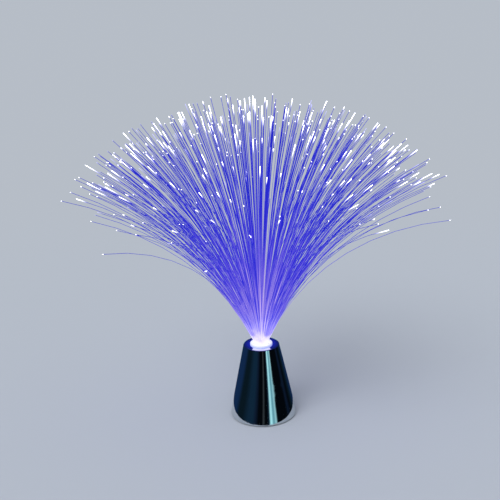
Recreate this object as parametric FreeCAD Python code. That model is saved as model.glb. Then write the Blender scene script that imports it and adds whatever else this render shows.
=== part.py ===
import FreeCAD, Part
import math
import os

# Battery-powered fibre optic table lamp: a chrome cone on a black battery cover, and a bundle of
# clear fibres that plugs into the top of the cone and spreads like a fountain.
# Millimetres. Z is up, the lamp's axis is Z, and the table top is z = 0. The switch is on the +Y side.

V = FreeCAD.Vector
UP = V(0, 0, 1)

# Chrome cone
cone_foot_radius = 36.5
cone_top_radius = 19.5
cone_top_z = 82.5
cone_wall = 2.0
cone_top_thickness = 2.2
cone_top_round = 1.0
cone_foot_round = 0.6

# Clearances, how far a cut runs past the face that it opens, and how far joined shapes run into each other
turning_clearance = 0.1
loose_gap = 0.3
door_gap = 0.25
screw_hole_gap = 0.2
thread_gap = 0.05
past = 1.0
weld = 0.5

# Rubber ring under the cover, which the lamp stands on
foot_ring_height = 1.0
foot_ring_inset = 0.4
foot_ring_width = 2.1

# Bottom cover and its screws
cover_thickness = 2.5
cover_rim_gap = 0.25
tower_wall_gap = 1.2
screw_angles = (55.0, 125.0, 235.0, 305.0)
screw_shank_radius = 1.3
screw_shank_length = 9.0
screw_head_radius = 2.6
screw_head_height = 1.8
head_pocket_depth = 2.4
tower_radius = 4.2
tower_height = 2.5
boss_radius = 3.2
boss_stops_short = 1.5
pilot_spare = 1.0

# AAA cells, side by side along X
cell_diameter = 10.5
cell_length = 44.5
cell_nub_length = 1.0
cell_nub_radius = 1.9
cell_edge_round = 0.5
cell_gap = 0.6
cell_count = 3

# Battery bay, moulded with the cover
bay_side_room = 0.45
bay_wall = 1.4
bay_roof = 1.2
bay_corner_cut = 2.0
bay_rib_width = 1.0
bay_rib_length = 34.0
bay_rib_height = 2.6

# Contacts in the bay
contact_thickness = 0.4
contact_width = 7.2
contact_height = 8.4
contact_button_radius = 1.6
contact_button_height = 0.3
tab_width = 2.4
tab_above_roof = 2.7
spring_length = 3.0
spring_wire_radius = 0.25
spring_big_radius = 3.2
spring_small_radius = 2.1
spring_turns = 2.5

# Battery door and its hinge
door_thickness = 1.5
door_ledge = 0.9
door_corner_cut = 3.0
door_corner_room = 0.5
door_foam_thickness = 0.9
door_foam_margin = 2.6
door_top_gap = 0.1
hinge_offset = 1.1
hinge_height = 1.45
knuckle_radius = 0.8
knuckle_length = 6.0
knuckle_spread = 10.0
knuckle_fit = 0.1
hinge_web = 0.5
hinge_bevel = 1.2
hinge_edge = 0.2
socket_mouth = 0.45
socket_cheek = 1.1
latch_width = 9.0
latch_length = 9.5
latch_slot = 0.8
latch_nose_length = 1.6
latch_nose_height = 1.4
thumb_notch_radius = 6.5
thumb_notch_length = 5.4
thumb_notch_depth = 1.2
latch_groove_width = 0.6
latch_groove_depth = 0.4
latch_groove_pitch = 1.4
latch_groove_count = 3

# Slide switch on the cover
switch_bay_gap = 4.5
switch_travel = 3.0
knob_length = 4.0
knob_width = 2.8
knob_recess = 0.4
knob_groove = 0.35
knob_groove_pitch = 0.8
knob_groove_count = 4
slider_half_length = 3.0
slider_half_width = 2.2
slider_height = 1.9
can_wall = 0.4
can_width = 5.6
can_height = 4.4
can_ear = 3.6
can_ear_width = 4.4
switch_base_thickness = 1.0
terminal_pitch = 2.5
terminal_width = 1.2
terminal_thickness = 0.4
terminal_height = 3.0
switch_pocket_depth = 1.2
switch_pocket_margin = 1.5
ear_screw_radius = 0.8
ear_screw_length = 1.9
ear_screw_head_radius = 1.5
ear_screw_head_height = 1.2

# Fibres
fibre_diameter = 0.75
fibre_gap = 0.03
fibre_count = 200
fibre_layers = 8
bundle_play = 0.1
fibre_length = 273.0
fibre_straight = 0.6
fibre_mouth_bend = 15.0
fibre_start_lean = 24.0
fibre_end_lean = 70.0
fibre_stray_lean = 20.0
fibre_least_lean = 1.0
fibre_lean_spread = 2.0
fibre_turn_spread = 2.2
fibre_shortest_share = 0.9
# Slow changes round the bundle as (waves in a turn, size in degrees, phase): tufts turn the fibres
# sideways towards each other, and swells lean them further out.
fibre_tufts = ((5, 4.0, 1.3), (9, 2.0, 0.4))
fibre_swells = ((3, 2.4, 0.8), (7, 1.8, 2.6))

# Ferrule that holds the fibres, and the frosted collar that it turns in
ferrule_wall = 0.8
ferrule_length = 13.1
ferrule_below_top = 1.2
ferrule_groove = 0.25
ferrule_groove_width = 1.2
root_below_ferrule_top = 0.8
collar_wall = 1.3
collar_lip_height = 1.5
collar_lip_overlap = 1.3
collar_flange_overhang = 2.3
collar_flange_height = 1.5
collar_flange_round = 0.6
collar_mouth_flare = 1.1
collar_mouth_land = 0.3

# White socket under the cone's top, and the light board below it
socket_wall = 2.3
socket_stop_height = 1.5
socket_stop_overlap = 2.6
socket_under_stop = 0.2
led_chamber_height = 6.4
led_chamber_wall = 3.0
board_thickness = 1.6
board_screw_radius = 0.8
board_screw_length = 6.0
board_screw_head_radius = 1.7
board_screw_head_height = 1.3
led_radius = 2.5
led_flange_radius = 2.9
led_flange_height = 1.0
led_height = 8.6
led_circle_radius = 3.5
led_angles = {"red": 90.0, "green": 210.0, "blue": 330.0}
lead_radius = 0.25
lead_spacing = 2.54
lead_hole_radius = 0.4
lead_below_board = 1.8
resistor_radius = 0.9
resistor_length = 3.8
resistor_pitch = 3.5
resistor_y = 6.6
resistor_gap = 0.05
chip_size = (5.0, 4.0, 1.6)
chip_y = -6.4
chip_bevel = 0.3

# Wires
wire_radius = 0.65
wire_pad_x = 7.6
wire_pad_y = 0.5
wire_arc_share = 0.45

# Levels and radii that follow from the sizes above
foot_z = foot_ring_height
cover_top_z = foot_z + cover_thickness
cone_slope = math.atan2(cone_foot_radius - cone_top_radius, cone_top_z - foot_z)
tower_top_z = cover_top_z + tower_height

fibre_radius = fibre_diameter / 2
# The closest two roots of a golden-angle pattern lie 1.546 times its scale apart.
root_scale = (fibre_diameter + fibre_gap) / 1.546
golden_angle = math.pi * (3 - math.sqrt(5))
ferrule_bore = root_scale * math.sqrt(fibre_count) + fibre_radius + bundle_play
ferrule_radius = ferrule_bore + ferrule_wall
collar_bore = ferrule_radius + turning_clearance
collar_neck_radius = collar_bore + collar_wall
socket_bore = collar_neck_radius + turning_clearance
socket_radius = socket_bore + socket_wall
collar_flange_radius = collar_neck_radius + collar_flange_overhang
collar_mouth_radius = collar_bore + collar_mouth_flare

collar_top_z = cone_top_z + collar_flange_height
ferrule_top_z = cone_top_z - ferrule_below_top
ferrule_foot_z = ferrule_top_z - ferrule_length
fibre_exit_z = ferrule_top_z - root_below_ferrule_top
collar_foot_z = ferrule_foot_z - collar_lip_height
socket_top_z = cone_top_z - cone_top_thickness
stop_top_z = collar_foot_z - socket_under_stop
stop_foot_z = stop_top_z - socket_stop_height
board_top_z = stop_foot_z - led_chamber_height
board_foot_z = board_top_z - board_thickness
board_radius = socket_radius

cell_pitch = cell_diameter + cell_gap
bay_half_length = (cell_length + contact_button_height + spring_length + 2 * contact_thickness) / 2
bay_half_width = (cell_count - 1) / 2 * cell_pitch + cell_diameter / 2 + bay_side_room
recess_half_length = bay_half_length + door_ledge
recess_half_width = bay_half_width + door_ledge
recess_top_z = foot_z + door_thickness + door_top_gap
foam_foot_z = foot_z + door_thickness
cell_axis_z = foam_foot_z + door_foam_thickness + loose_gap + cell_diameter / 2
bay_ceiling_z = cell_axis_z + cell_diameter / 2 + loose_gap
bay_top_z = bay_ceiling_z + bay_roof
cell_ys = [(k - (cell_count - 1) / 2) * cell_pitch for k in range(cell_count)]
hinge_x = -(recess_half_length + hinge_offset)
hinge_z = foot_z + hinge_height

switch_y = bay_half_width + bay_wall + switch_bay_gap + can_width / 2
slot_half_length = switch_travel / 2 + knob_length / 2 + door_gap
slot_half_width = knob_width / 2 + door_gap
can_half_length = switch_travel / 2 + slider_half_length + turning_clearance + can_wall
can_top_z = cover_top_z + can_height
ear_hole_x = can_half_length + can_ear / 2


def outer_radius(z):
    """Radius of the cone's outside at a height."""
    return cone_foot_radius - (z - foot_z) * math.tan(cone_slope)


def inner_radius(z):
    """Radius of the cone's inside at a height."""
    return outer_radius(z) - cone_wall / math.cos(cone_slope)


cover_radius = inner_radius(cover_top_z) - cover_rim_gap
foot_ring_outer_radius = cover_radius - foot_ring_inset
screw_circle_radius = inner_radius(tower_top_z) - tower_wall_gap - tower_radius


def rod(radius, z0, z1, x=0.0, y=0.0):
    """Upright cylinder from z0 to z1."""
    return Part.makeCylinder(radius, z1 - z0, V(x, y, z0))


def tube(radius, bore, z0, z1):
    """Upright tube about the lamp's axis."""
    return rod(radius, z0, z1).cut(rod(bore, z0 - past, z1 + past))


def block(x0, x1, y0, y1, z0, z1):
    """Box between two corners."""
    return Part.makeBox(x1 - x0, y1 - y0, z1 - z0, V(x0, y0, z0))


def slab(x, y, length, width, z0, z1):
    """Box of a length in X and a width in Y, centred on x and y."""
    return block(x - length / 2, x + length / 2, y - width / 2, y + width / 2, z0, z1)


def turned(points):
    """Solid of revolution about Z from (radius, z) corners."""
    corners = [V(r, 0, z) for r, z in points]
    face = Part.Face(Part.makePolygon(corners + corners[:1]))
    return face.revolve(V(0, 0, 0), UP, 360)


def ring_edges(shape, radius, z):
    """Full circular edges of a shape about Z at a radius and height."""
    found = []
    for edge in shape.Edges:
        curve = edge.Curve
        if not isinstance(curve, Part.Circle):
            continue
        on_axis = math.hypot(curve.Center.x, curve.Center.y) < 1e-6
        if on_axis and abs(curve.Radius - radius) < 1e-4 and abs(curve.Center.z - z) < 1e-4:
            found.append(edge)
    return found


def polar(radius, degrees):
    """X and Y of a point on a circle about the axis."""
    return radius * math.cos(math.radians(degrees)), radius * math.sin(math.radians(degrees))


def joined(first, *others):
    """Union of solids as one clean solid."""
    return first.fuse(list(others)).removeSplitter()


def cross_recess(x, y, z, reach, depth):
    """Cross-shaped driver recess that rises into a screw head from its face at z."""
    arm = reach * 0.3
    return slab(x, y, 2 * reach, arm, z, z + depth).fuse(slab(x, y, arm, 2 * reach, z, z + depth))


def screw_up(x, y, face_z, shank, length, head, head_height):
    """Pan-head screw that goes upwards, with the underside of its head at face_z."""
    body = rod(head, face_z - head_height, face_z, x, y)
    rim = [e for e in body.Edges if isinstance(e.Curve, Part.Circle) and e.Curve.Center.z < face_z - 1e-6]
    body = body.makeFillet(head_height * 0.45, rim)
    body = body.fuse(rod(shank, face_z, face_z + length, x, y))
    recess = cross_recess(x, y, face_z - head_height, head * 0.6, head_height * 0.5)
    return body.cut(recess).removeSplitter()


def screw_places():
    """X and Y of each cover screw."""
    return [polar(screw_circle_radius, angle) for angle in screw_angles]


# Chrome cone and the ring that it stands on

def chrome_shell():
    """Hollow cone with a flat ring top, and the four screw bosses that hang inside it."""
    height = cone_top_z - foot_z
    outside = Part.makeCone(cone_foot_radius, cone_top_radius, height, V(0, 0, foot_z))
    rounded = outside.makeFillet(cone_top_round, ring_edges(outside, cone_top_radius, cone_top_z))
    rounded = rounded.makeFillet(cone_foot_round, ring_edges(rounded, cone_foot_radius, foot_z))
    inside_foot_z = foot_z - past
    inside = Part.makeCone(
        inner_radius(inside_foot_z),
        inner_radius(socket_top_z),
        socket_top_z - inside_foot_z,
        V(0, 0, inside_foot_z),
    )
    shell = rounded.cut(inside)
    # Each boss rises until the sloping wall has swallowed it.
    swallowed_z = foot_z + (inner_radius(foot_z) - screw_circle_radius + boss_radius) / math.tan(cone_slope)
    boss_top_z = swallowed_z - boss_stops_short
    bosses = [rod(boss_radius, tower_top_z, boss_top_z, x, y).common(outside) for x, y in screw_places()]
    shell = joined(shell, *bosses)
    pilot_top_z = foot_z + head_pocket_depth + screw_shank_length + pilot_spare
    pilots = [
        rod(screw_shank_radius + thread_gap, tower_top_z - past, pilot_top_z, x, y) for x, y in screw_places()
    ]
    mouth = rod(socket_bore, socket_top_z - past, cone_top_z + past)
    return shell.cut(pilots + [mouth])


def foot_ring():
    """Soft ring on the cover's underside."""
    return tube(foot_ring_outer_radius, foot_ring_outer_radius - foot_ring_width, 0, foot_z)


# Bottom cover with its battery bay

def cut_corner_block(half_length, half_width, corner, z0, z1):
    """Box about the axis whose four upright edges are cut off at 45 degrees."""
    a, b, c = half_length, half_width, corner
    front = [(-a, c - b), (c - a, -b), (a - c, -b), (a, c - b)]
    back = [(-x, -y) for x, y in front]
    corners = front + back
    outline = Part.makePolygon([V(x, y, z0) for x, y in corners + corners[:1]])
    return Part.Face(outline).extrude(V(0, 0, z1 - z0))


def hinge_sockets():
    """Blocks above the cover's plate that close the top of each hinge socket."""
    reach = knuckle_radius + knuckle_fit + socket_cheek
    half = knuckle_length / 2 + reach
    return [
        block(hinge_x - reach, -bay_half_length, y - half, y + half, cover_top_z - weld, hinge_z + reach)
        for y in (-knuckle_spread, knuckle_spread)
    ]


def hinge_cuts():
    """Round socket for each knuckle, open downwards on the door's side so that the web can swing."""
    cuts = []
    half = knuckle_length / 2 + door_gap
    radius = knuckle_radius + knuckle_fit
    mouth_x, inner_x = hinge_x - socket_mouth, past - recess_half_length
    for y in (-knuckle_spread, knuckle_spread):
        cuts.append(Part.makeCylinder(radius, 2 * half, V(hinge_x, y - half, hinge_z), V(0, 1, 0)))
        cuts.append(block(mouth_x, inner_x, y - half, y + half, foot_z - past, hinge_z + knuckle_fit))
    return cuts


def thumb_notch():
    """Shallow scoop in the cover's underside beside the door's latch."""
    axis_z = foot_z + thumb_notch_depth - thumb_notch_radius
    start = V(recess_half_length - weld, 0, axis_z)
    return Part.makeCylinder(thumb_notch_radius, thumb_notch_length, start, V(1, 0, 0))


def contact_slots():
    """Slots in the bay's roof that the two solder tabs rise through."""
    length, width = contact_thickness + turning_clearance, tab_width + 2 * turning_clearance
    return [
        slab(*solder_tab_place(end), length, width, bay_ceiling_z - past, bay_top_z + past) for end in (1, -1)
    ]


def bottom_cover():
    """Round plate, screw towers and the battery bay in one moulding."""
    plate = rod(cover_radius, foot_z, cover_top_z)
    towers = [rod(tower_radius, cover_top_z - weld, tower_top_z, x, y) for x, y in screw_places()]
    outer_length, outer_width = bay_half_length + bay_wall, bay_half_width + bay_wall
    outer_cut = bay_corner_cut + bay_wall * (2 - math.sqrt(2))
    bay = cut_corner_block(outer_length, outer_width, outer_cut, cover_top_z - weld, bay_top_z)
    room = cut_corner_block(bay_half_length, bay_half_width, bay_corner_cut, foot_z - past, bay_ceiling_z)
    # The recess's corners leave extra room, because the door's corners draw back as it swings.
    recess_corner = door_corner_cut + door_gap * (2 - math.sqrt(2)) - door_corner_room
    recess = cut_corner_block(recess_half_length, recess_half_width, recess_corner, foot_z - past, recess_top_z)
    cover = joined(plate, bay, *towers, *hinge_sockets()).cut([room, recess])
    rib_foot_z, rib_top_z = bay_ceiling_z - bay_rib_height, bay_ceiling_z + bay_roof / 2
    rib_ys = [y + cell_pitch / 2 for y in cell_ys[:-1]]
    ribs = [slab(0, y, bay_rib_length, bay_rib_width, rib_foot_z, rib_top_z) for y in rib_ys]
    cuts = hinge_cuts() + contact_slots() + screw_cuts() + switch_cuts() + [thumb_notch()]
    return joined(cover, *ribs).cut(cuts)


def screw_cuts():
    """Pocket for the head and hole for the shank of each cover screw."""
    cuts = []
    for x, y in screw_places():
        cuts.append(rod(screw_head_radius + loose_gap, foot_z - past, foot_z + head_pocket_depth, x, y))
        cuts.append(rod(screw_shank_radius + screw_hole_gap, foot_z, tower_top_z + past, x, y))
    return cuts


def switch_cuts():
    """Finger pocket, slot for the knob, and the two pilot holes of the switch."""
    pocket_length = 2 * (slot_half_length + switch_pocket_margin)
    pocket_width = 2 * (slot_half_width + switch_pocket_margin)
    pocket_top_z = foot_z + switch_pocket_depth
    pilot_foot_z = cover_top_z + can_wall - ear_screw_length - turning_clearance
    cuts = [
        slab(0, switch_y, pocket_length, pocket_width, foot_z - past, pocket_top_z),
        slab(0, switch_y, 2 * slot_half_length, 2 * slot_half_width, foot_z, cover_top_z + past),
    ]
    for x in (-ear_hole_x, ear_hole_x):
        cuts.append(rod(ear_screw_radius + thread_gap, pilot_foot_z, cover_top_z + past, x, switch_y))
    return cuts


def cover_screws():
    """Four screws that hold the cover to the cone's bosses."""
    shank, head = (screw_shank_radius, screw_shank_length), (screw_head_radius, screw_head_height)
    return [screw_up(x, y, foot_z + head_pocket_depth, *shank, *head) for x, y in screw_places()]


# Cells and contacts

def cell_direction(k):
    """+1 where a cell's positive end points to +X, and -1 where it points to -X."""
    return 1 if k % 2 == 0 else -1


def solder_tab_place(end):
    """X and Y of the solder tab at the positive (+1) and the negative (-1) end of the row."""
    k = 0 if end == 1 else cell_count - 1
    side = cell_direction(k) if end == 1 else -cell_direction(k)
    return side * (bay_half_length - contact_thickness / 2), cell_ys[k]


def battery_cell(k):
    """One cell with its positive nub, pressed against the button of its plate."""
    body_length = cell_length - cell_nub_length
    nub_x = bay_half_length - contact_thickness - contact_button_height
    nub_foot_x = nub_x - cell_nub_length
    body = Part.makeCylinder(cell_diameter / 2, body_length, V(nub_foot_x - body_length, 0, 0), V(1, 0, 0))
    body = body.makeFillet(cell_edge_round, [e for e in body.Edges if isinstance(e.Curve, Part.Circle)])
    nub = Part.makeCylinder(cell_nub_radius, cell_nub_length, V(nub_foot_x, 0, 0), V(1, 0, 0))
    cell = body.fuse(nub).removeSplitter()
    if cell_direction(k) < 0:
        cell.rotate(V(0, 0, 0), UP, 180)
    cell.translate(V(0, cell_ys[k], cell_axis_z))
    return cell


def contact_plate(side, first, last, button_cells, with_tab):
    """Plate on the end wall at side (+1 or -1) behind cells first to last, with buttons and a solder tab."""
    x0, x1 = sorted((side * (bay_half_length - contact_thickness), side * bay_half_length))
    half = contact_width / 2
    z0, z1 = cell_axis_z - contact_height / 2, cell_axis_z + contact_height / 2
    plate = block(x0, x1, cell_ys[first] - half, cell_ys[last] + half, z0, z1)
    pieces = []
    for k in button_cells:
        face = V(side * (bay_half_length - contact_thickness), cell_ys[k], cell_axis_z)
        pieces.append(Part.makeCylinder(contact_button_radius, contact_button_height, face, V(-side, 0, 0)))
    if with_tab:
        half_tab = tab_width / 2
        pieces.append(block(x0, x1, cell_ys[first] - half_tab, cell_ys[first] + half_tab, z1,
                            bay_top_z + tab_above_roof))
    return joined(plate, *pieces) if pieces else plate


def contact_nodes():
    """The two end plates with solder tabs, and the bridges that join each cell to the next."""
    last = cell_count - 1
    made = {
        "contact_positive": contact_plate(cell_direction(0), 0, 0, [0], True),
        "contact_negative": contact_plate(-cell_direction(last), last, last, [], True),
    }
    for k in range(last):
        side = -cell_direction(k)
        made[f"contact_bridge_{k + 1}"] = contact_plate(side, k, k + 1, [k + 1], False)
    return made


def smooth_path(points, share=wire_arc_share):
    """Straight runs through the points, joined by tangent arcs, as one wire."""
    edges = []
    start = points[0]
    for before, corner, after in zip(points, points[1:], points[2:]):
        into = (corner - before).normalize()
        out = (after - corner).normalize()
        turn = into.getAngle(out)
        setback = share * min((corner - before).Length, (after - corner).Length)
        bend = setback / math.tan(turn / 2)
        arc_in, arc_out = corner - into * setback, corner + out * setback
        towards = (out - into).normalize()
        middle = corner + towards * (bend / math.cos(turn / 2) - bend)
        edges.append(Part.LineSegment(start, arc_in).toShape())
        edges.append(Part.Arc(arc_in, middle, arc_out).toShape())
        start = arc_out
    edges.append(Part.LineSegment(start, points[-1]).toShape())
    return Part.Wire(edges)


def swept_disc(path, start, direction, radius):
    """Round solid that follows a path from its start."""
    disc = Part.Face(Part.Wire(Part.Circle(start, direction, radius).toShape()))
    return path.makePipe(disc)


def contact_spring(k):
    """Conical spring behind one cell, wide at its plate and narrow at the cell, as one unbroken wire."""
    rise = spring_length - 2 * spring_wire_radius
    steps_per_turn = 4
    steps = round(spring_turns * steps_per_turn)

    def at(step):
        share = step / steps
        radius = spring_big_radius + (spring_small_radius - spring_big_radius) * share
        turn = 2 * math.pi * step / steps_per_turn
        return V(radius * math.cos(turn), radius * math.sin(turn), spring_wire_radius + rise * share)

    arcs = [Part.Arc(at(s), at(s + 0.5), at(s + 1)).toShape() for s in range(steps)]
    start_direction = arcs[0].tangentAt(arcs[0].FirstParameter)
    section = Part.Wire(Part.Circle(at(0), start_direction, spring_wire_radius).toShape())
    spring = Part.Wire(arcs).makePipeShell([section], True, False)
    next_turn = min((at(s + steps_per_turn) - at(s)).Length for s in range(steps - steps_per_turn + 1))
    print(f"contact_spring_{k + 1}: least gap to itself {next_turn - 2 * spring_wire_radius:.2f} mm")
    side = -cell_direction(k)
    spring.rotate(V(0, 0, 0), V(0, 1, 0), -90 * side)
    spring.translate(V(side * (bay_half_length - contact_thickness), cell_ys[k], cell_axis_z))
    return spring


# Battery door

def battery_door():
    """Flat door with two hinge knuckles at its -X edge and a springy latch at its +X edge."""
    half_length, half_width = recess_half_length - door_gap, recess_half_width - door_gap
    # The hinge edge is bevelled, so that it clears the cover as the door swings.
    top_z = foot_z + door_thickness
    profile = [(-half_length, foot_z), (half_length, foot_z), (half_length, top_z),
               (hinge_bevel - half_length, top_z), (-half_length, foot_z + hinge_edge)]
    outline = Part.makePolygon([V(x, -half_width, z) for x, z in profile + profile[:1]])
    door = Part.Face(outline).extrude(V(0, 2 * half_width, 0))
    door = door.common(cut_corner_block(half_length, half_width, door_corner_cut, foot_z - past, top_z + past))
    pieces = []
    for y in (-knuckle_spread, knuckle_spread):
        start = V(hinge_x, y - knuckle_length / 2, hinge_z)
        web_end_x = hinge_bevel + weld - half_length
        pieces.append(Part.makeCylinder(knuckle_radius, knuckle_length, start, V(0, 1, 0)))
        web_foot_z = hinge_z - hinge_web
        pieces.append(block(hinge_x, web_end_x, start.y, start.y + knuckle_length, web_foot_z, hinge_z))
    nose_x = bay_half_length - turning_clearance - latch_nose_length / 2
    nose_width = latch_width - 2 * latch_slot
    pieces.append(slab(nose_x, 0, latch_nose_length, nose_width, top_z - weld, top_z + latch_nose_height))
    slot_x, slot_y = half_length - latch_length / 2 + past, (latch_width + latch_slot) / 2
    slot_length = latch_length + 2 * past
    cuts = [slab(slot_x, y, slot_length, latch_slot, foot_z - past, top_z + past) for y in (-slot_y, slot_y)]
    for row in range(1, latch_groove_count + 1):
        x = half_length - row * latch_groove_pitch
        cuts.append(slab(x, 0, latch_groove_width, nose_width, foot_z - past, foot_z + latch_groove_depth))
    return joined(door, *pieces).cut(cuts)


def door_foam():
    """Foam pad on the door, just clear of the cells."""
    half_length = bay_half_length - door_foam_margin
    half_width = bay_half_width - door_foam_margin
    latch_end_x = half_length - latch_length - door_foam_margin
    foam_top_z = foam_foot_z + door_foam_thickness
    return block(-half_length, latch_end_x, -half_width, half_width, foam_foot_z, foam_top_z)


# Slide switch

def switch_can():
    """Steel can of the switch: a tray with a slot in its floor and an ear at each end."""
    length, floor_top_z = 2 * can_half_length, cover_top_z + can_wall
    outside = slab(0, switch_y, length, can_width, cover_top_z, can_top_z)
    ears = slab(0, switch_y, length + 2 * can_ear, can_ear_width, cover_top_z, floor_top_z)
    inside_length, inside_width = length - 2 * can_wall, can_width - 2 * can_wall
    cuts = [
        slab(0, switch_y, inside_length, inside_width, floor_top_z, can_top_z + past),
        slab(0, switch_y, 2 * slot_half_length, 2 * slot_half_width, cover_top_z - past, floor_top_z + past),
    ]
    hole_radius = ear_screw_radius + screw_hole_gap
    for x in (-ear_hole_x, ear_hole_x):
        cuts.append(rod(hole_radius, cover_top_z - past, floor_top_z + past, x, switch_y))
    return joined(outside, ears).cut(cuts)


def switch_base():
    """Insulating board that closes the can."""
    length, width = 2 * (can_half_length - can_wall), can_width - 2 * can_wall
    return slab(0, switch_y, length, width, can_top_z - switch_base_thickness, can_top_z)


def switch_terminals():
    """Three solder terminals on the switch's base."""
    top_z = can_top_z + terminal_height
    return [
        slab(x, switch_y, terminal_width, terminal_thickness, can_top_z, top_z)
        for x in (-terminal_pitch, 0.0, terminal_pitch)
    ]


def switch_slider():
    """Black slider with its knob, at the ON end of its travel."""
    x = switch_travel / 2
    slider_foot_z = cover_top_z + can_wall + turning_clearance
    slider_top_z = slider_foot_z + slider_height
    slider = slab(x, switch_y, 2 * slider_half_length, 2 * slider_half_width, slider_foot_z, slider_top_z)
    knob_foot_z = foot_z + knob_recess
    knob = slab(x, switch_y, knob_length, knob_width, knob_foot_z, slider_foot_z + weld)
    grooves = []
    for k in range(knob_groove_count):
        groove_x = x + (k - (knob_groove_count - 1) / 2) * knob_groove_pitch
        grooves.append(slab(groove_x, switch_y, knob_groove, knob_width + 2 * past, knob_foot_z - past,
                            knob_foot_z + knob_groove))
    return joined(slider, knob).cut(grooves)


def switch_screws():
    """Two screws that go down through the can's ears into the cover."""
    shank, head = (ear_screw_radius, ear_screw_length), (ear_screw_head_radius, ear_screw_head_height)
    made = []
    for x in (-ear_hole_x, ear_hole_x):
        screw = screw_up(0, 0, 0, *shank, *head)
        screw.rotate(V(0, 0, 0), V(1, 0, 0), 180)
        screw.translate(V(x, switch_y, cover_top_z + can_wall))
        made.append(screw)
    return made


# Socket and light board

def bundle_socket():
    """White tube under the cone's top: the collar plugs in above its stop, and the LEDs sit below it."""
    chamber_radius = socket_radius - led_chamber_wall
    stop_bore = socket_bore - socket_stop_overlap
    profile = [
        (stop_bore, stop_foot_z), (chamber_radius, stop_foot_z), (chamber_radius, board_top_z),
        (socket_radius, board_top_z), (socket_radius, socket_top_z), (socket_bore, socket_top_z),
        (socket_bore, stop_top_z), (stop_bore, stop_top_z),
    ]
    pilot_top_z = board_foot_z + board_screw_length + pilot_spare
    pilot_radius, pilot_foot_z = board_screw_radius + thread_gap, board_top_z - past
    pilots = [rod(pilot_radius, pilot_foot_z, pilot_top_z, x, y) for x, y in board_screw_places()]
    return turned(profile).cut(pilots)


def board_screw_places():
    """X and Y of the two board screws, in the middle of the socket's wall."""
    radius = socket_radius - led_chamber_wall / 2
    return [(radius, 0.0), (-radius, 0.0)]


def led_places():
    """Name, X and Y of each LED."""
    return [(name, *polar(led_circle_radius, angle)) for name, angle in led_angles.items()]


def lead_places():
    """X and Y of each LED lead."""
    return [(x + side * lead_spacing / 2, y) for _, x, y in led_places() for side in (-1, 1)]


def led_board():
    """Round circuit board that closes the socket's lower end."""
    board = rod(board_radius, board_foot_z, board_top_z)
    z0, z1 = board_foot_z - past, board_top_z + past
    screw_holes = [rod(board_screw_radius + screw_hole_gap, z0, z1, x, y) for x, y in board_screw_places()]
    lead_holes = [rod(lead_hole_radius, z0, z1, x, y) for x, y in lead_places()]
    return board.cut(screw_holes + lead_holes)


def led(x, y):
    """Round LED with a flange and a domed top, standing on the board."""
    dome_z = board_top_z + led_height - led_radius
    body = rod(led_radius, board_top_z, dome_z, x, y)
    flange = rod(led_flange_radius, board_top_z, board_top_z + led_flange_height, x, y)
    flat = block(x + led_radius, x + led_flange_radius + past, y - led_flange_radius, y + led_flange_radius,
                 board_top_z - past, board_top_z + led_flange_height + past)
    dome = Part.makeSphere(led_radius, V(x, y, dome_z))
    return joined(body, flange.cut(flat), dome)


def led_leads():
    """Two leads for each LED, through the board."""
    return [rod(lead_radius, board_foot_z - lead_below_board, board_top_z, x, y) for x, y in lead_places()]


def resistors():
    """One resistor for each LED, side by side under the board."""
    y, z = resistor_y - resistor_length / 2, board_foot_z - resistor_radius - resistor_gap
    xs = (-resistor_pitch, 0.0, resistor_pitch)
    return [Part.makeCylinder(resistor_radius, resistor_length, V(x, y, z), V(0, 1, 0)) for x in xs]


def control_chip():
    """Small chip under the board that fades the LEDs."""
    length, width, height = chip_size
    chip_foot_z = board_foot_z - height
    chip = slab(0, chip_y, length, width, chip_foot_z, board_foot_z)
    lower = [e for e in chip.Edges if all(abs(v.Z - chip_foot_z) < 1e-6 for v in e.Vertexes)]
    return chip.makeChamfer(chip_bevel, lower)


def board_screws():
    """Two screws that hold the board to the socket."""
    shank, head = (board_screw_radius, board_screw_length), (board_screw_head_radius, board_screw_head_height)
    return [screw_up(x, y, board_foot_z, *shank, *head) for x, y in board_screw_places()]


# Wires inside the cone

def wire_routes():
    """Route of each wire: from the cells to the switch, and from the switch and the cells to the board."""
    positive_x, positive_y = solder_tab_place(1)
    negative_x, negative_y = solder_tab_place(-1)
    tab_z = bay_top_z + tab_above_roof
    terminal_z = can_top_z + terminal_height
    return {
        "wire_positive": [
            V(positive_x, positive_y, tab_z), V(positive_x, positive_y, tab_z + 8), V(19.5, 4, tab_z + 13),
            V(10.5, 19, tab_z + 9), V(terminal_pitch, switch_y, terminal_z + 8),
            V(terminal_pitch, switch_y, terminal_z),
        ],
        "wire_switched": [
            V(0, switch_y, terminal_z), V(0, switch_y, terminal_z + 8), V(1, 19.5, terminal_z + 20),
            V(3, 11, terminal_z + 30), V(wire_pad_x, wire_pad_y, board_foot_z - 9),
            V(wire_pad_x, wire_pad_y, board_foot_z),
        ],
        "wire_negative": [
            V(negative_x, negative_y, tab_z), V(negative_x, negative_y, tab_z + 6), V(-20, 6, tab_z + 16),
            V(-12, 2, tab_z + 26), V(-wire_pad_x, -wire_pad_y, board_foot_z - 8),
            V(-wire_pad_x, -wire_pad_y, board_foot_z),
        ],
    }


def wire_solid(name, points):
    """Insulated wire along one route."""
    path = smooth_path(points)
    bends = [edge.Curve.Radius for edge in path.Edges if isinstance(edge.Curve, Part.Circle)]
    print(f"{name}: {path.Length:.1f} mm long, bends {', '.join(f'{bend:.1f}' for bend in bends)} mm")
    return swept_disc(path, points[0], (points[1] - points[0]).normalize(), wire_radius)


# Collar and fibre bundle

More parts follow.
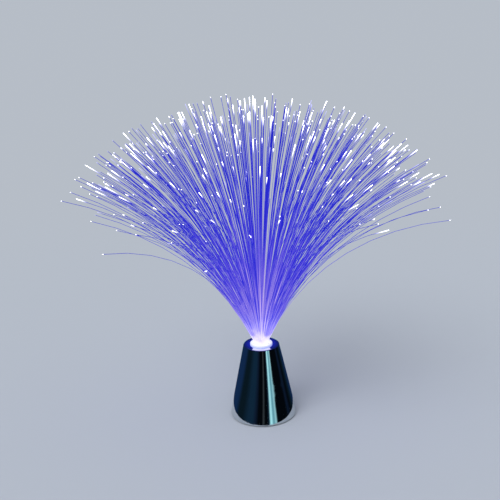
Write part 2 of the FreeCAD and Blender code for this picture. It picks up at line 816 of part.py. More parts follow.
def collar():
    """Frosted bush that plugs into the cone's top, with a flange, a flared mouth and an inner lip."""
    profile = [
        (collar_bore - collar_lip_overlap, collar_foot_z), (collar_neck_radius, collar_foot_z),
        (collar_neck_radius, cone_top_z), (collar_flange_radius, cone_top_z),
        (collar_flange_radius, collar_top_z), (collar_mouth_radius, collar_top_z),
        (collar_bore, ferrule_top_z + collar_mouth_land), (collar_bore, ferrule_foot_z),
        (collar_bore - collar_lip_overlap, ferrule_foot_z),
    ]
    bush = turned(profile)
    return bush.makeFillet(collar_flange_round, ring_edges(bush, collar_flange_radius, collar_top_z))


def ferrule():
    """Metal sleeve crimped round the fibres, with two shallow grooves."""
    sleeve = tube(ferrule_radius, ferrule_bore, ferrule_foot_z, ferrule_top_z)
    for share in (0.3, 0.7):
        z = ferrule_foot_z + share * ferrule_length
        half_width = ferrule_groove_width / 2
        groove = tube(ferrule_radius + past, ferrule_radius - ferrule_groove, z - half_width, z + half_width)
        sleeve = sleeve.cut(groove)
    return sleeve


def fibre_root():
    """The lower ends of the fibres, potted in clear resin inside the ferrule."""
    return rod(ferrule_bore, ferrule_foot_z, fibre_exit_z)


def scatter(index, salt):
    """Number from -1 to 1 that looks random and depends only on its arguments."""
    value = math.sin(index * 12.9898 + salt * 78.233) * 43758.5453
    return 2 * (value - math.floor(value)) - 1


def waves(series, azimuth):
    """Sum of sine waves round the bundle at an azimuth in radians, in degrees."""
    return sum(size * math.sin(count * azimuth + phase) for count, size, phase in series)


def fibre_shape(index):
    """A fibre's root, the way that it leans, its lean after the first bend and at its tip, and its length."""
    reach = math.sqrt((index + 0.5) / fibre_count)
    azimuth = index * golden_angle
    out = root_scale * math.sqrt(index + 0.5)
    root = V(out * math.cos(azimuth), out * math.sin(azimuth), fibre_exit_z)
    turn = waves(fibre_tufts, azimuth) + fibre_turn_spread * scatter(index, 1)
    side = azimuth + math.radians(reach * turn)
    # Only the outermost fibres stray, and few of them stray far.
    stray = fibre_stray_lean * reach**12 * (0.5 + 0.5 * scatter(index, 2)) ** 2
    first_lean = max(fibre_least_lean, fibre_start_lean * reach)
    more_lean = reach * (fibre_end_lean - fibre_start_lean + waves(fibre_swells, azimuth)) + stray
    more_lean += fibre_lean_spread * scatter(index, 3)
    last_lean = first_lean + max(fibre_least_lean, more_lean)
    length = fibre_length * (1 - (1 - fibre_shortest_share) * abs(scatter(index, 4)) ** 1.5)
    outward = V(math.cos(side), math.sin(side), 0)
    return root, outward, math.radians(first_lean), math.radians(last_lean), length


def fibre(index):
    """One fibre: straight out of the resin, a tight bend in the collar's mouth, then one long arc."""
    root, outward, first, second, length = fibre_shape(index)
    long_bend = (length - fibre_straight - fibre_mouth_bend * first) / (second - first)

    def mouth_point(angle):
        out = fibre_mouth_bend * (1 - math.cos(angle))
        up = fibre_straight + fibre_mouth_bend * math.sin(angle)
        return root + outward * out + UP * up

    joint = mouth_point(first)

    def long_point(angle):
        out = long_bend * (math.cos(first) - math.cos(angle))
        up = long_bend * (math.sin(angle) - math.sin(first))
        return joint + outward * out + UP * up

    path = Part.Wire([
        Part.LineSegment(root, mouth_point(0)).toShape(),
        Part.Arc(mouth_point(0), mouth_point(first / 2), joint).toShape(),
        Part.Arc(joint, long_point((first + second) / 2), long_point(second)).toShape(),
    ])
    return swept_disc(path, root, UP, fibre_radius)


def fibre_nodes():
    """The fibres in layers, from the middle of the bundle outwards."""
    per_layer = math.ceil(fibre_count / fibre_layers)
    made = {}
    for layer in range(fibre_layers):
        members = range(layer * per_layer, min(fibre_count, (layer + 1) * per_layer))
        made[f"fibres_layer_{layer + 1}"] = [fibre(index) for index in members]
    return made


# Every node of the lamp

def all_nodes():
    """Node name to its solid, or its list of solids."""
    nodes = {
        "chrome_shell": chrome_shell(),
        "foot_ring": foot_ring(),
        "bottom_cover": bottom_cover(),
        "cover_screws": cover_screws(),
        "battery_door": battery_door(),
        "door_foam": door_foam(),
        "switch_can": switch_can(),
        "switch_base": switch_base(),
        "switch_terminals": switch_terminals(),
        "switch_slider": switch_slider(),
        "switch_screws": switch_screws(),
        "bundle_socket": bundle_socket(),
        "led_board": led_board(),
        "led_leads": led_leads(),
        "resistors": resistors(),
        "control_chip": control_chip(),
        "board_screws": board_screws(),
        "collar": collar(),
        "ferrule": ferrule(),
        "fibre_root": fibre_root(),
    }
    for k in range(cell_count):
        nodes[f"battery_cell_{k + 1}"] = battery_cell(k)
        nodes[f"contact_spring_{k + 1}"] = contact_spring(k)
    for name, x, y in led_places():
        nodes[f"led_{name}"] = led(x, y)
    for name, points in wire_routes().items():
        nodes[name] = wire_solid(name, points)
    nodes.update(contact_nodes())
    nodes.update(fibre_nodes())
    return nodes


os.makedirs("parts", exist_ok=True)
for node, solids in all_nodes().items():
    if isinstance(solids, list):
        shape = Part.makeCompound(solids)
    else:
        shape = solids
    closed = bool(shape.Solids) and all(s.isValid() and s.Volume > 0 for s in shape.Solids)
    verdict = "sound" if closed else "NOT SOUND"
    print(f"{node}: {len(shape.Solids)} solid(s), {shape.Volume:.1f} mm3, {verdict}")
    shape.exportStep(os.path.join("parts", node + ".step"))
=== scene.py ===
"""Looks of a battery fibre optic lamp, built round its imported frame.

A mirror-chromed cone stands on a black battery cover. A frosted collar glows in the cone's flat top, and a
bundle of clear fibres spreads from it like a fountain, each ending in a bright point. Lengths are metres, and
Z is up and the lamp's axis, as in the frame.
"""
import logging
import math
from dataclasses import dataclass
from enum import Enum
from typing import Any, Iterable, Mapping, Sequence, Union

import bmesh
import bpy
from mathutils import Matrix, Vector


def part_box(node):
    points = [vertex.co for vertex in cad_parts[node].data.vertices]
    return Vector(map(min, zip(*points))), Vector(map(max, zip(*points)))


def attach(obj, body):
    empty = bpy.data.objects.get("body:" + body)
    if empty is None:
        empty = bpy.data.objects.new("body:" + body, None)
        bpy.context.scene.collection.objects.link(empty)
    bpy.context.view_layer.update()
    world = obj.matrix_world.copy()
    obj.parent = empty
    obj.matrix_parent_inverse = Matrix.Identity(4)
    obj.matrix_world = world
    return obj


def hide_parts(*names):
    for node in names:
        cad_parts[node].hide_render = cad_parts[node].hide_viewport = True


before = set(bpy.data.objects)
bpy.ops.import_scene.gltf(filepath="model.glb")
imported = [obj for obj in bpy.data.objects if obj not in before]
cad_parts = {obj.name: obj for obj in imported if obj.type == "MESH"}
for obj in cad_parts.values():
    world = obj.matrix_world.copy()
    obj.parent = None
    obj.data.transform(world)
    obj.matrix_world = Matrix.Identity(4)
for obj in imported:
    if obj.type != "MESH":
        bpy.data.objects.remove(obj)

LOG = logging.getLogger("lamp")
MM = 0.001
UP = Vector((0.0, 0.0, 1.0))
MOST = (0.3, 0.7)       # what most of a noise's values lie between

Colour = Point = tuple[float, float, float]
Span = tuple[float, float]
Profile = Sequence[Span]
Stops = tuple[tuple[float, Colour], ...]
Socket = bpy.types.NodeSocket
Material = bpy.types.Material
Value = Union[float, Sequence[float], Socket]
BMesh, BMVert, BMEdge = bmesh.types.BMesh, bmesh.types.BMVert, bmesh.types.BMEdge
ZERO: Point = (0.0, 0.0, 0.0)
ONE: Point = (1.0, 1.0, 1.0)


class Body(Enum):
    """The bodies of the frame that pieces ride on."""

    BASE = "base"
    SWITCH = "switch"
    DOOR = "door"
    COLLAR = "collar"
    BUNDLE = "bundle"


def opaque(colour: Sequence[float]) -> tuple[float, float, float, float]:
    """Returns the colour with full alpha."""
    return colour[0], colour[1], colour[2], 1.0


class Graph:
    """The node tree of a material or of the world, built by short calls that return sockets."""

    def __init__(self, owner: bpy.types.ID, output: str = "ShaderNodeOutputMaterial") -> None:
        """Starts an empty tree with an output node.

        Args:
            owner: The new material or world.
            output: Blender's name of the output node.
        """
        owner.use_nodes = True
        self.owner = owner
        self.tree = owner.node_tree
        self.tree.nodes.clear()
        self.output = self.tree.nodes.new(output)

    def node(self, kind: str, inputs: Mapping[Any, Value] | None = None, **settings: Any) -> bpy.types.Node:
        """Adds a node.

        Args:
            kind: Blender's name of the node type.
            inputs: Values or sockets for the node's inputs, by name or place.
            **settings: Properties of the node.

        Returns:
            The new node.
        """
        made = self.tree.nodes.new(kind)
        for name, value in settings.items():
            setattr(made, name, value)
        for name, value in (inputs or {}).items():
            if isinstance(value, Socket):
                self.tree.links.new(value, made.inputs[name])
            else:
                made.inputs[name].default_value = value
        return made

    def socket(self, kind: str, inputs: Mapping[Any, Value] | None = None, output: int | str = 0,
               **settings: Any) -> Socket:
        """Adds a node, as node does, and returns one of its outputs."""
        return self.node(kind, inputs, **settings).outputs[output]

    def vector(self, operation: str, first: Value, second: Value) -> Socket:
        """One step of arithmetic with vectors."""
        return self.socket("ShaderNodeVectorMath", {0: first, 1: second}, operation=operation)

    def coords(self, scale: Point = ONE, offset: Point = ZERO) -> Socket:
        """Object coordinates in metres, moved so that offset is the origin and then stretched by scale."""
        place = self.socket("ShaderNodeTexCoord", output="Object")
        return self.vector("MULTIPLY", self.vector("SUBTRACT", place, tuple(offset)), tuple(scale))

    def split(self, scale: Point = ONE, offset: Point = ZERO) -> Any:
        """Object coordinates as three sockets, X, Y and Z."""
        return self.node("ShaderNodeSeparateXYZ", {0: self.coords(scale, offset)}).outputs

    def noise(self, scale: float, detail: float = 3.0, vector: Socket | None = None) -> Socket:
        """Soft noise about 0.5, with that many bumps in a metre of the vector or of the plain coordinates."""
        where = vector or self.coords()
        return self.socket("ShaderNodeTexNoise", {"Vector": where, "Scale": scale, "Detail": detail}, "Fac")

    def cells(self, scale: float, feature: str = "F1") -> Socket:
        """Distance to the nearest point, or edge, of a cell pattern with that many cells in a metre."""
        inputs = {"Vector": self.coords(), "Scale": scale}
        return self.socket("ShaderNodeTexVoronoi", inputs, "Distance", feature=feature)

    def span(self, value: Value, low: float, high: float, start: float = 0.0, end: float = 1.0) -> Socket:
        """Maps low to high onto start to end, smoothly and with no overshoot."""
        inputs = {"Value": value, "From Min": low, "From Max": high, "To Min": start, "To Max": end}
        return self.socket("ShaderNodeMapRange", inputs, "Result", interpolation_type="SMOOTHSTEP")

    def ramp(self, value: Socket, stops: Stops) -> Socket:
        """Colour along a value.

        Args:
            value: Where along the ramp, from 0 to 1.
            stops: Places and their colours, in order.

        Returns:
            The colour socket.
        """
        made = self.node("ShaderNodeValToRGB", {"Fac": value})
        elements = made.color_ramp.elements
        while len(elements) < len(stops):
            elements.new(1.0)
        for element, (place, colour) in zip(elements, stops):
            element.position = place
            element.color = opaque(colour)
        return made.outputs["Color"]

    def maths(self, operation: str, first: Value, *others: Value) -> Socket:
        """One kind of arithmetic, by the name that Blender gives it, on one value or along a row of them."""
        for other in others or (0.0,):
            first = self.socket("ShaderNodeMath", {0: first, 1: other}, operation=operation)
        return first

    def mix(self, share: Value, first: Value, second: Value) -> Socket:
        """Colour between first, at share 0, and second, at share 1."""
        ends = [opaque(c) if isinstance(c, tuple) else c for c in (first, second)]
        return self.socket("ShaderNodeMix", {0: share, 6: ends[0], 7: ends[1]}, 2, data_type="RGBA")

    def blend(self, share: Value, first: Socket, second: Socket) -> Socket:
        """Shader between first, at share 0, and second, at share 1."""
        return self.socket("ShaderNodeMixShader", {0: share, 1: first, 2: second})

    def attribute(self, name: str) -> Socket:
        """Value of a mesh attribute."""
        return self.socket("ShaderNodeAttribute", output="Fac", attribute_name=name)

    def from_axis(self) -> Socket:
        """Distance from the lamp's axis, in metres."""
        flat = self.coords((1.0, 1.0, 0.0))
        return self.socket("ShaderNodeVectorMath", {0: flat}, "Value", operation="LENGTH")

    def bump(self, height: Value, depth: float, normal: Socket | None = None) -> Socket:
        """Relief of a height from 0 to 1, which is depth metres in reality, added to another relief."""
        under = {} if normal is None else {"Normal": normal}
        return self.socket("ShaderNodeBump", {"Height": height, "Distance": depth, **under}, "Normal")

    def show(self, shader: Socket) -> Any:
        """Sends a shader to the output, and returns the finished material or world."""
        self.tree.links.new(shader, self.output.inputs["Surface"])
        return self.owner

    def coat(self, colour: Value, rough: Value, normal: Socket, **more: Value) -> Material:
        """Ends the tree in one Principled shader; more inputs go by their names, with _ for each space."""
        inputs = {"Base Color": colour, "Roughness": rough, "Normal": normal}
        inputs |= {name.replace("_", " "): value for name, value in more.items()}
        return self.show(self.socket("ShaderNodeBsdfPrincipled", inputs))


@dataclass(frozen=True)
class Finish:
    """A surface finish, whose material is made once and then shared."""

    name: str

    def material(self) -> Material:
        """Returns the finish's material, made on first use."""
        return bpy.data.materials.get(self.name) or self.paint(Graph(bpy.data.materials.new(self.name)))

    def paint(self, graph: Graph) -> Material:
        """Builds the node tree; each kind of finish has its own.

        Args:
            graph: The empty tree to build in.

        Returns:
            The finished material.
        """
        raise NotImplementedError


@dataclass(frozen=True)
class MirrorChrome(Finish):
    """Chrome plate on moulded plastic: a mirror with faint orange peel, wiping haze, a few fine pits, and a
    painted blue glow round the collar.
    """

    colour: Colour = (0.66, 0.70, 0.72)
    haze: Colour = (0.58, 0.63, 0.67)
    roughness: float = 0.035
    hazy_roughness: float = 0.10
    peel_per_metre: float = 210.0
    peel_depth: float = 0.028 * MM
    pit_per_metre: float = 1500.0
    pit_depth: float = 0.004 * MM
    # Painted glow: the collar's blue light drawn onto the flat top round the collar, as emission.
    painted_glow: Colour = (0.006, 0.009, 0.36)
    painted_glow_start: float = 11.5 * MM
    painted_glow_end: float = 20.5 * MM
    painted_glow_strength: float = 0.85
    painted_glow_low: float = 81.4 * MM
    painted_glow_high: float = 82.4 * MM
    wipe_per_metre: float = 26.0
    wipe_stretch: Point = (1.0, 1.0, 0.35)

    def paint(self, graph: Graph) -> Material:
        """Mirror with haze in soft patches, over peel and pits, and a painted blue glow of the collar's light
        round its top.
        """
        wiped = graph.noise(self.wipe_per_metre, 5.0, graph.coords(self.wipe_stretch))
        patches = graph.span(wiped, 0.42, 0.72)
        peel = graph.bump(graph.noise(self.peel_per_metre, 2.0), self.peel_depth)
        pits = graph.bump(graph.noise(self.pit_per_metre, 4.0), self.pit_depth, peel)
        rough = graph.span(wiped, 0.35, 0.75, self.roughness, self.hazy_roughness)
        # Painted glow of the collar's light on the chrome's flat top, strongest next to the collar and fading
        # outwards.
        near = graph.span(graph.from_axis(), self.painted_glow_start, self.painted_glow_end, 1.0, 0.0)
        on_top = graph.span(graph.split()["Z"], self.painted_glow_low, self.painted_glow_high)
        lit = graph.maths("MULTIPLY", near, on_top)
        return graph.coat(
            graph.mix(patches, self.colour, self.haze), rough, pits, Metallic=1.0,
            Emission_Color=graph.mix(lit, ZERO, self.painted_glow), Emission_Strength=self.painted_glow_strength)


@dataclass(frozen=True)
class Moulded(Finish):
    """Moulded plastic or rubber: spark-eroded grain, uneven gloss, scuffs and settled dust."""

    colour: Colour = (0.030, 0.030, 0.033)
    scuff: Colour = (0.095, 0.095, 0.10)
    roughness: float = 0.46
    grain_per_metre: float = 2600.0
    grain_depth: float = 0.02 * MM
    scuff_share: float = 0.5
    cloud_per_metre: float = 90.0
    scratch_per_metre: float = 700.0
    scratch_stretch: Point = (1.0, 0.06, 0.4)

    def paint(self, graph: Graph) -> Material:
        """Grain over the whole surface, with scratches in one direction and cloudy gloss."""
        cloud = graph.noise(self.cloud_per_metre, 4.0)
        scratches = graph.noise(self.scratch_per_metre, 6.0, graph.coords(self.scratch_stretch))
        marks = graph.maths("MULTIPLY", graph.span(scratches, 0.60, 0.74), graph.span(cloud, 0.45, 0.7))
        worn = graph.maths("MULTIPLY", marks, self.scuff_share)
        grain = graph.bump(graph.noise(self.grain_per_metre, 2.0), self.grain_depth)
        return graph.coat(
            graph.mix(worn, self.colour, self.scuff),
            graph.span(cloud, *MOST, self.roughness - 0.07, self.roughness + 0.1),
            graph.bump(scratches, self.grain_depth * 0.4, grain), Specular_IOR_Level=0.45)


@dataclass(frozen=True)
class Metal(Finish):
    """Bare or plated metal, brushed or tumbled, with a little tarnish."""

    colour: Colour = (0.62, 0.62, 0.60)
    tarnish: Colour = (0.38, 0.35, 0.31)
    roughness: float = 0.26
    brush: Point = ONE
    brush_per_metre: float = 2400.0
    brush_depth: float = 0.006 * MM
    stain_per_metre: float = 420.0
    stain_dulling: float = 0.22

    def paint(self, graph: Graph) -> Material:
        """Brushed relief, with tarnish in patches that are also duller."""
        lines = graph.noise(self.brush_per_metre, 3.0, graph.coords(self.brush))
        stain = graph.span(graph.noise(self.stain_per_metre, 5.0), 0.5, 0.78)
        return graph.coat(
            graph.mix(stain, self.colour, self.tarnish),
            graph.span(stain, 0.0, 1.0, self.roughness, self.roughness + self.stain_dulling),
            graph.bump(lines, self.brush_depth), Metallic=1.0)


@dataclass(frozen=True)
class OpenFoam(Finish):
    """Open-cell foam: a soft grey web, with painted shade in its pores."""

    web: Colour = (0.10, 0.10, 0.11)
    pore_shade: Colour = (0.012, 0.012, 0.014)
    cells_per_metre: float = 1500.0
    pore_depth: float = 0.15 * MM
    gloss: Span = (0.8, 1.0)

    def paint(self, graph: Graph) -> Material:
        """Pores sunk between their walls, and darkened with painted shade."""
        wall = graph.cells(self.cells_per_metre, "DISTANCE_TO_EDGE")
        open_pore = graph.span(wall, 0.05, 0.3)
        # The pores' dark colour is painted shade in the hollows.
        return graph.coat(
            graph.mix(open_pore, self.web, self.pore_shade), graph.span(open_pore, 0.0, 1.0, *self.gloss),
            graph.bump(open_pore, -self.pore_depth))


@dataclass(frozen=True)
class CellSleeve(Finish):
    """Shrink sleeve of a cell: a dark body with a metallic band at the positive end and a printed + and -.

    The cell lies along X. side is +1 where its positive end points to +X, and middle is its centre.
    """

    side: float = 1.0
    middle: Point = ZERO
    half_length: float = 21.0 * MM
    body: Colour = (0.018, 0.035, 0.075)
    band: Colour = (0.72, 0.42, 0.16)
    ink: Colour = (0.80, 0.80, 0.76)
    sign_place: float = 0.62
    long_arm: float = 1.3 * MM
    short_arm: float = 0.32 * MM
    ripple_per_metre: float = 300.0
    ripple_stretch: Point = (0.25, 1.0, 1.0)
    ripple_depth: float = 0.03 * MM
    gloss: Span = (0.22, 0.34)
    band_metallic: float = 0.75

    def bar(self, graph: Graph, along: float, half_long: float, half_wide: float) -> Socket:
        """Share of ink in one printed bar on the side of the sleeve that faces the door.

        Args:
            graph: The tree to build in.
            along: Place of the bar's centre, towards the positive end.
            half_long: Half of its length along the cell.
            half_wide: Half of its width.

        Returns:
            The socket of the share.
        """
        split = graph.split(offset=self.middle)
        near_x = graph.maths("ABSOLUTE", graph.maths("SUBTRACT", split["X"], self.side * along))
        inside_x = graph.maths("LESS_THAN", near_x, half_long)
        inside_y = graph.maths("LESS_THAN", graph.maths("ABSOLUTE", split["Y"]), half_wide)
        return graph.maths("MULTIPLY", inside_x, inside_y, graph.maths("LESS_THAN", split["Z"], 0.0))

    def paint(self, graph: Graph) -> Material:
        """Body, band, the signs and the faint ripple of shrunk film."""
        ahead = graph.split((self.side, 1.0, 1.0), self.middle)["X"]
        band, line, line_end = (
            graph.span(ahead, start * self.half_length, end * self.half_length)
            for start, end in ((0.40, 0.41), (0.34, 0.345), (0.365, 0.37))
        )
        rim = graph.maths("SUBTRACT", line, line_end)
        sign = self.sign_place * self.half_length
        signs = [
            self.bar(graph, sign, self.long_arm, self.short_arm),
            self.bar(graph, sign, self.short_arm, self.long_arm),
            self.bar(graph, -sign, self.short_arm, self.long_arm),
        ]
        colour = graph.mix(band, graph.mix(rim, self.body, self.band), self.band)
        ripple = graph.noise(self.ripple_per_metre, 3.0, graph.coords(self.ripple_stretch))
        return graph.coat(
            graph.mix(graph.maths("MAXIMUM", *signs), colour, self.ink),
            graph.span(ripple, *MOST, *self.gloss), graph.bump(ripple, self.ripple_depth),
            Metallic=graph.maths("MULTIPLY", band, self.band_metallic))


@dataclass(frozen=True)
class SolderMask(Finish):
    """Green circuit board: tracks under the mask, and pale laminate at its edge."""

    mask: Colour = (0.012, 0.11, 0.05)
    track: Colour = (0.03, 0.20, 0.085)
    laminate: Colour = (0.42, 0.38, 0.20)
    edge_radius: float = 12.0 * MM
    tracks_per_metre: float = 190.0
    weave_per_metre: float = 2200.0
    weave_depth: float = 0.01 * MM
    track_depth: float = 0.04 * MM
    gloss: Span = (0.24, 0.8)

    def paint(self, graph: Graph) -> Material:
        """Tracks as raised lines of a brick pattern, with the cut edge bare."""
        gaps = graph.socket("ShaderNodeTexBrick", {
            "Vector": graph.coords(),
            "Scale": self.tracks_per_metre,
            "Mortar Size": 0.09,
            "Mortar Smooth": 0.2,
            "Brick Width": 0.9,
            "Row Height": 0.42,
        }, "Fac")
        edge = graph.span(graph.from_axis(), self.edge_radius, self.edge_radius + 0.1 * MM)
        colour = graph.mix(graph.maths("SUBTRACT", 1.0, gaps), self.track, self.mask)
        weave = graph.noise(self.weave_per_metre, 2.0)
        return graph.coat(
            graph.mix(edge, colour, self.laminate), graph.span(edge, 0.0, 1.0, *self.gloss),
            graph.bump(weave, self.weave_depth, graph.bump(gaps, self.track_depth)))


@dataclass(frozen=True)
class TintedLens(Finish):
    """Cast resin of a lit LED."""

    colour: Colour = (0.9, 0.2, 0.2)
    glow: float = 0.8
    foot_z: float = 60.0 * MM
    top_z: float = 67.0 * MM
    flow_per_metre: float = 800.0
    flow_depth: float = 0.01 * MM
    gloss: Span = (0.05, 0.14)

    def paint(self, graph: Graph) -> Material:
        """Clear tinted resin with flow marks, brighter towards its top."""
        flow = graph.noise(self.flow_per_metre)
        lit = graph.span(graph.split()["Z"], self.foot_z, self.top_z, 0.15, 1.0)
        return graph.coat(
            graph.mix(graph.span(flow, 0.3, 0.8, 0.0, 0.3), self.colour, ONE),
            graph.span(flow, *MOST, *self.gloss), graph.bump(flow, self.flow_depth), IOR=1.53,
            Transmission_Weight=0.7, Emission_Color=graph.mix(lit, ZERO, self.colour),
            Emission_Strength=self.glow)


@dataclass(frozen=True)
class Insulation(Finish):
    """PVC insulation of a wire: waxy, with faint drawing lines and finger dulling."""

    colour: Colour = (0.5, 0.03, 0.02)
    dull_per_metre: float = 350.0
    drawn_per_metre: float = 3000.0
    drawn_depth: float = 0.008 * MM
    gloss: Span = (0.28, 0.5)

    def paint(self, graph: Graph) -> Material:
        """Waxy gloss with dull patches."""
        dull = graph.noise(self.dull_per_metre, 4.0)
        shade = tuple(0.7 * c for c in self.colour)
        return graph.coat(
            graph.mix(graph.span(dull, 0.35, 0.75), self.colour, shade), graph.span(dull, *MOST, *self.gloss),
            graph.bump(graph.noise(self.drawn_per_metre, 2.0), self.drawn_depth))


@dataclass(frozen=True)
class FrostedGlow(Finish):
    """Frosted plastic lit from inside: white where the bundle is near, bluer towards its rim and its foot."""

    colour: Colour = (0.40, 0.43, 0.52)
    pale: Colour = (0.48, 0.51, 0.58)
    core: Colour = (1.0, 0.97, 1.0)
    rim: Colour = (0.55, 0.62, 1.0)
    foot: Colour = (0.04, 0.06, 0.35)
    rim_radius: float = 12.7 * MM
    core_radius: float = 10.2 * MM
    foot_z: float = 66.7 * MM
    flange_z: float = 82.5 * MM
    strength: float = 0.55
    frost_per_metre: float = 1900.0
    frost_depth: float = 0.02 * MM
    gloss: Span = (0.38, 0.55)

    def paint(self, graph: Graph) -> Material:
        """Glow that falls off outwards and downwards, under a frosted grain."""
        frost = graph.noise(self.frost_per_metre)
        outwards = graph.span(graph.from_axis(), self.core_radius, self.rim_radius)
        ring = graph.mix(outwards, self.core, self.rim)
        upwards = graph.span(graph.split()["Z"], self.foot_z, self.flange_z)
        return graph.coat(
            graph.mix(graph.span(frost, 0.3, 0.8), self.colour, self.pale),
            graph.span(frost, *MOST, *self.gloss), graph.bump(frost, self.frost_depth),
            Emission_Color=graph.mix(upwards, self.foot, ring), Emission_Strength=self.strength)


@dataclass(frozen=True)
class CastResin(Finish):
    """Clear resin that pots the fibres, glowing with the light that goes up through it."""

    colour: Colour = (0.80, 0.84, 1.0)
    glow: Colour = (0.85, 0.80, 1.0)
    deep_glow: Colour = (0.5, 0.45, 1.0)
    strength: float = 0.7
    bubbles_per_metre: float = 900.0
    bubble_depth: float = 0.04 * MM
    flow_per_metre: float = 500.0
    gloss: Span = (0.08, 0.25)

    def paint(self, graph: Graph) -> Material:
        """Clear body with the dimples of its fibres and small bubbles."""
        bubbles = graph.cells(self.bubbles_per_metre)
        flow = graph.noise(self.flow_per_metre)
        return graph.coat(
            graph.mix(graph.span(bubbles, 0.1, 0.5), ONE, self.colour), graph.span(flow, *MOST, *self.gloss),
            graph.bump(bubbles, self.bubble_depth), IOR=1.5, Transmission_Weight=0.45,
            Emission_Color=graph.mix(graph.span(flow, 0.2, 0.9), self.glow, self.deep_glow),
            Emission_Strength=self.strength)


@dataclass(frozen=True)
class GlowingFibre(Finish):
    """Clear plastic fibre carrying light: white at the collar, then violet and blue, and a bright end.

    It reads five values of the fibres' mesh: from_root and from_tip, in metres along the fibre, streak, the
    length that shines at its end, end, how bright that end is, and tint, from 0, blue, to 1, pinkish white.
    """

    reach: float = 0.26
    shake: float = 0.12
    strength: float = 1.7
    cool: Stops = (
        (0.0, (0.58, 0.57, 0.60)),
        (0.04, (0.42, 0.38, 0.54)),
        (0.08, (0.11, 0.09, 0.45)),
        (0.15, (0.014, 0.014, 0.38)),
        (0.50, (0.003, 0.005, 0.32)),
        (1.0, (0.002, 0.004, 0.27)),
    )
    warm: Stops = (
        (0.0, (0.60, 0.58, 0.60)),
        (0.10, (0.60, 0.53, 0.57)),
        (0.19, (0.46, 0.34, 0.50)),
        (0.38, (0.16, 0.115, 0.45)),
        (0.66, (0.035, 0.030, 0.39)),
        (1.0, (0.010, 0.012, 0.33)),
    )
    glow: Colour = (0.10, 0.10, 0.55)
    end: Colour = (3.3, 3.3, 3.9)
    body: Colour = (0.012, 0.012, 0.11)
    pale_body: Colour = (0.16, 0.15, 0.36)
    uneven_per_metre: float = 120.0
    uneven_depth: float = 0.01 * MM
    gloss: Span = (0.14, 0.3)

    def paint(self, graph: Graph) -> Material:
        """Light along the fibre, scattered a little unevenly, over a glossy clear skin."""
        root, tip, streak, tint, bright = (
            graph.attribute(name) for name in ("from_root", "from_tip", "streak", "tint", "end")
        )
        along = graph.maths("DIVIDE", root, self.reach)
        uneven = graph.noise(self.uneven_per_metre)
        shake = graph.maths("MULTIPLY", graph.maths("SUBTRACT", uneven, 0.5), self.shake)
        shaken = graph.maths("ADD", along, shake)
        light = graph.mix(tint, graph.ramp(shaken, self.cool), graph.ramp(shaken, self.warm))
        closeness = graph.maths("SUBTRACT", 1.0, graph.maths("DIVIDE", tip, streak))
        faint = graph.maths("MULTIPLY", graph.span(closeness, 0.0, 0.5), bright)
        strong = graph.maths("MULTIPLY", graph.span(closeness, 0.2, 1.0), bright)
        return graph.coat(
            graph.mix(graph.span(along, 0.0, 0.3), self.pale_body, self.body),
            graph.span(uneven, *MOST, *self.gloss), graph.bump(uneven, self.uneven_depth), IOR=1.49,
            Specular_IOR_Level=0.08,
            Emission_Color=graph.mix(strong, graph.mix(faint, light, self.glow), self.end),
            Emission_Strength=self.strength)


BLACK_ABS = Moulded("black_abs")
ZINC = Metal("bright_zinc", colour=(0.62, 0.63, 0.64), roughness=0.24)


def add_object(name: str, data: bpy.types.ID) -> bpy.types.Object:
    """Adds an object to the scene.

    Args:
        name: Its name.
        data: Its mesh, light, camera or text.

    Returns:
        The new object.
    """
    made = bpy.data.objects.new(name, data)
    bpy.context.scene.collection.objects.link(made)
    return made


def add_mesh(name: str, shape: BMesh, material: Material) -> bpy.types.Object:
    """Adds a smooth-shaded mesh object.

    Args:
        name: Its name.
        shape: Its shape, which is freed.
        material: Its material.

    Returns:
        The new object.
    """
    mesh = bpy.data.meshes.new(name)
    shape.to_mesh(mesh)
    shape.free()
    mesh.shade_smooth()
    mesh.materials.append(material)
    return add_object(name, mesh)


def add_piece(name: str, shape: BMesh, finish: Finish, body: Body, replaced: Sequence[str] = (),
              sharp: float = 35.0) -> bpy.types.Object:
    """Makes a finished piece of a bmesh, at the origin and with its place in its mesh.

    Args:
        name: Name of the piece.
        shape: Its shape, which is freed.
        finish: Its finish.
        body: The body that it rides on.
        replaced: CAD nodes that it stands for.
        sharp: Angle in degrees past which an edge stays sharp.

    Returns:
        The new object.
    """
    made = add_mesh(name, shape, finish.material())
    made.data.set_sharp_from_angle(angle=math.radians(sharp))
    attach(made, body.value)
    if replaced:
        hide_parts(*replaced)
    LOG.info("built %s on %s: %d faces", name, body.value, len(made.data.polygons))
    return made


def turn_profile(shape: BMesh, profile: Profile, place: Matrix, steps: int = 24, closed: bool = False
                 ) -> None:
    """Adds a solid or surface of revolution about the place's Z axis.

    Args:
        shape: The bmesh that it is added to.
        profile: (radius, height) corners, from the bottom round to the top.
        place: Where it goes.
        steps: Facets in the full turn.
        closed: True for a profile that is a loop clear of the axis.
    """
    verts = [shape.verts.new(place @ Vector((radius, 0.0, height))) for radius, height in profile]
    pairs = zip(verts, verts[1:] + verts[:1] if closed else verts[1:])
    edges = [shape.edges.new(pair) for pair in pairs]
    axis = (place.to_3x3() @ UP).normalized()
    bmesh.ops.spin(shape, geom=verts + edges, cent=place.translation, axis=axis, angle=math.tau, steps=steps,
                   use_merge=True, use_duplicate=False)
    bmesh.ops.remove_doubles(shape, verts=shape.verts, dist=0.0005 * MM)
    bmesh.ops.recalc_face_normals(shape, faces=shape.faces)


def round_edges(shape: BMesh, edges: Sequence[BMEdge], radius: float, segments: int) -> None:
    """Rounds edges to a radius, in that many facets."""
    bmesh.ops.bevel(shape, geom=edges, offset=radius, affect="EDGES", segments=segments, profile=0.5,
                    material=-1)


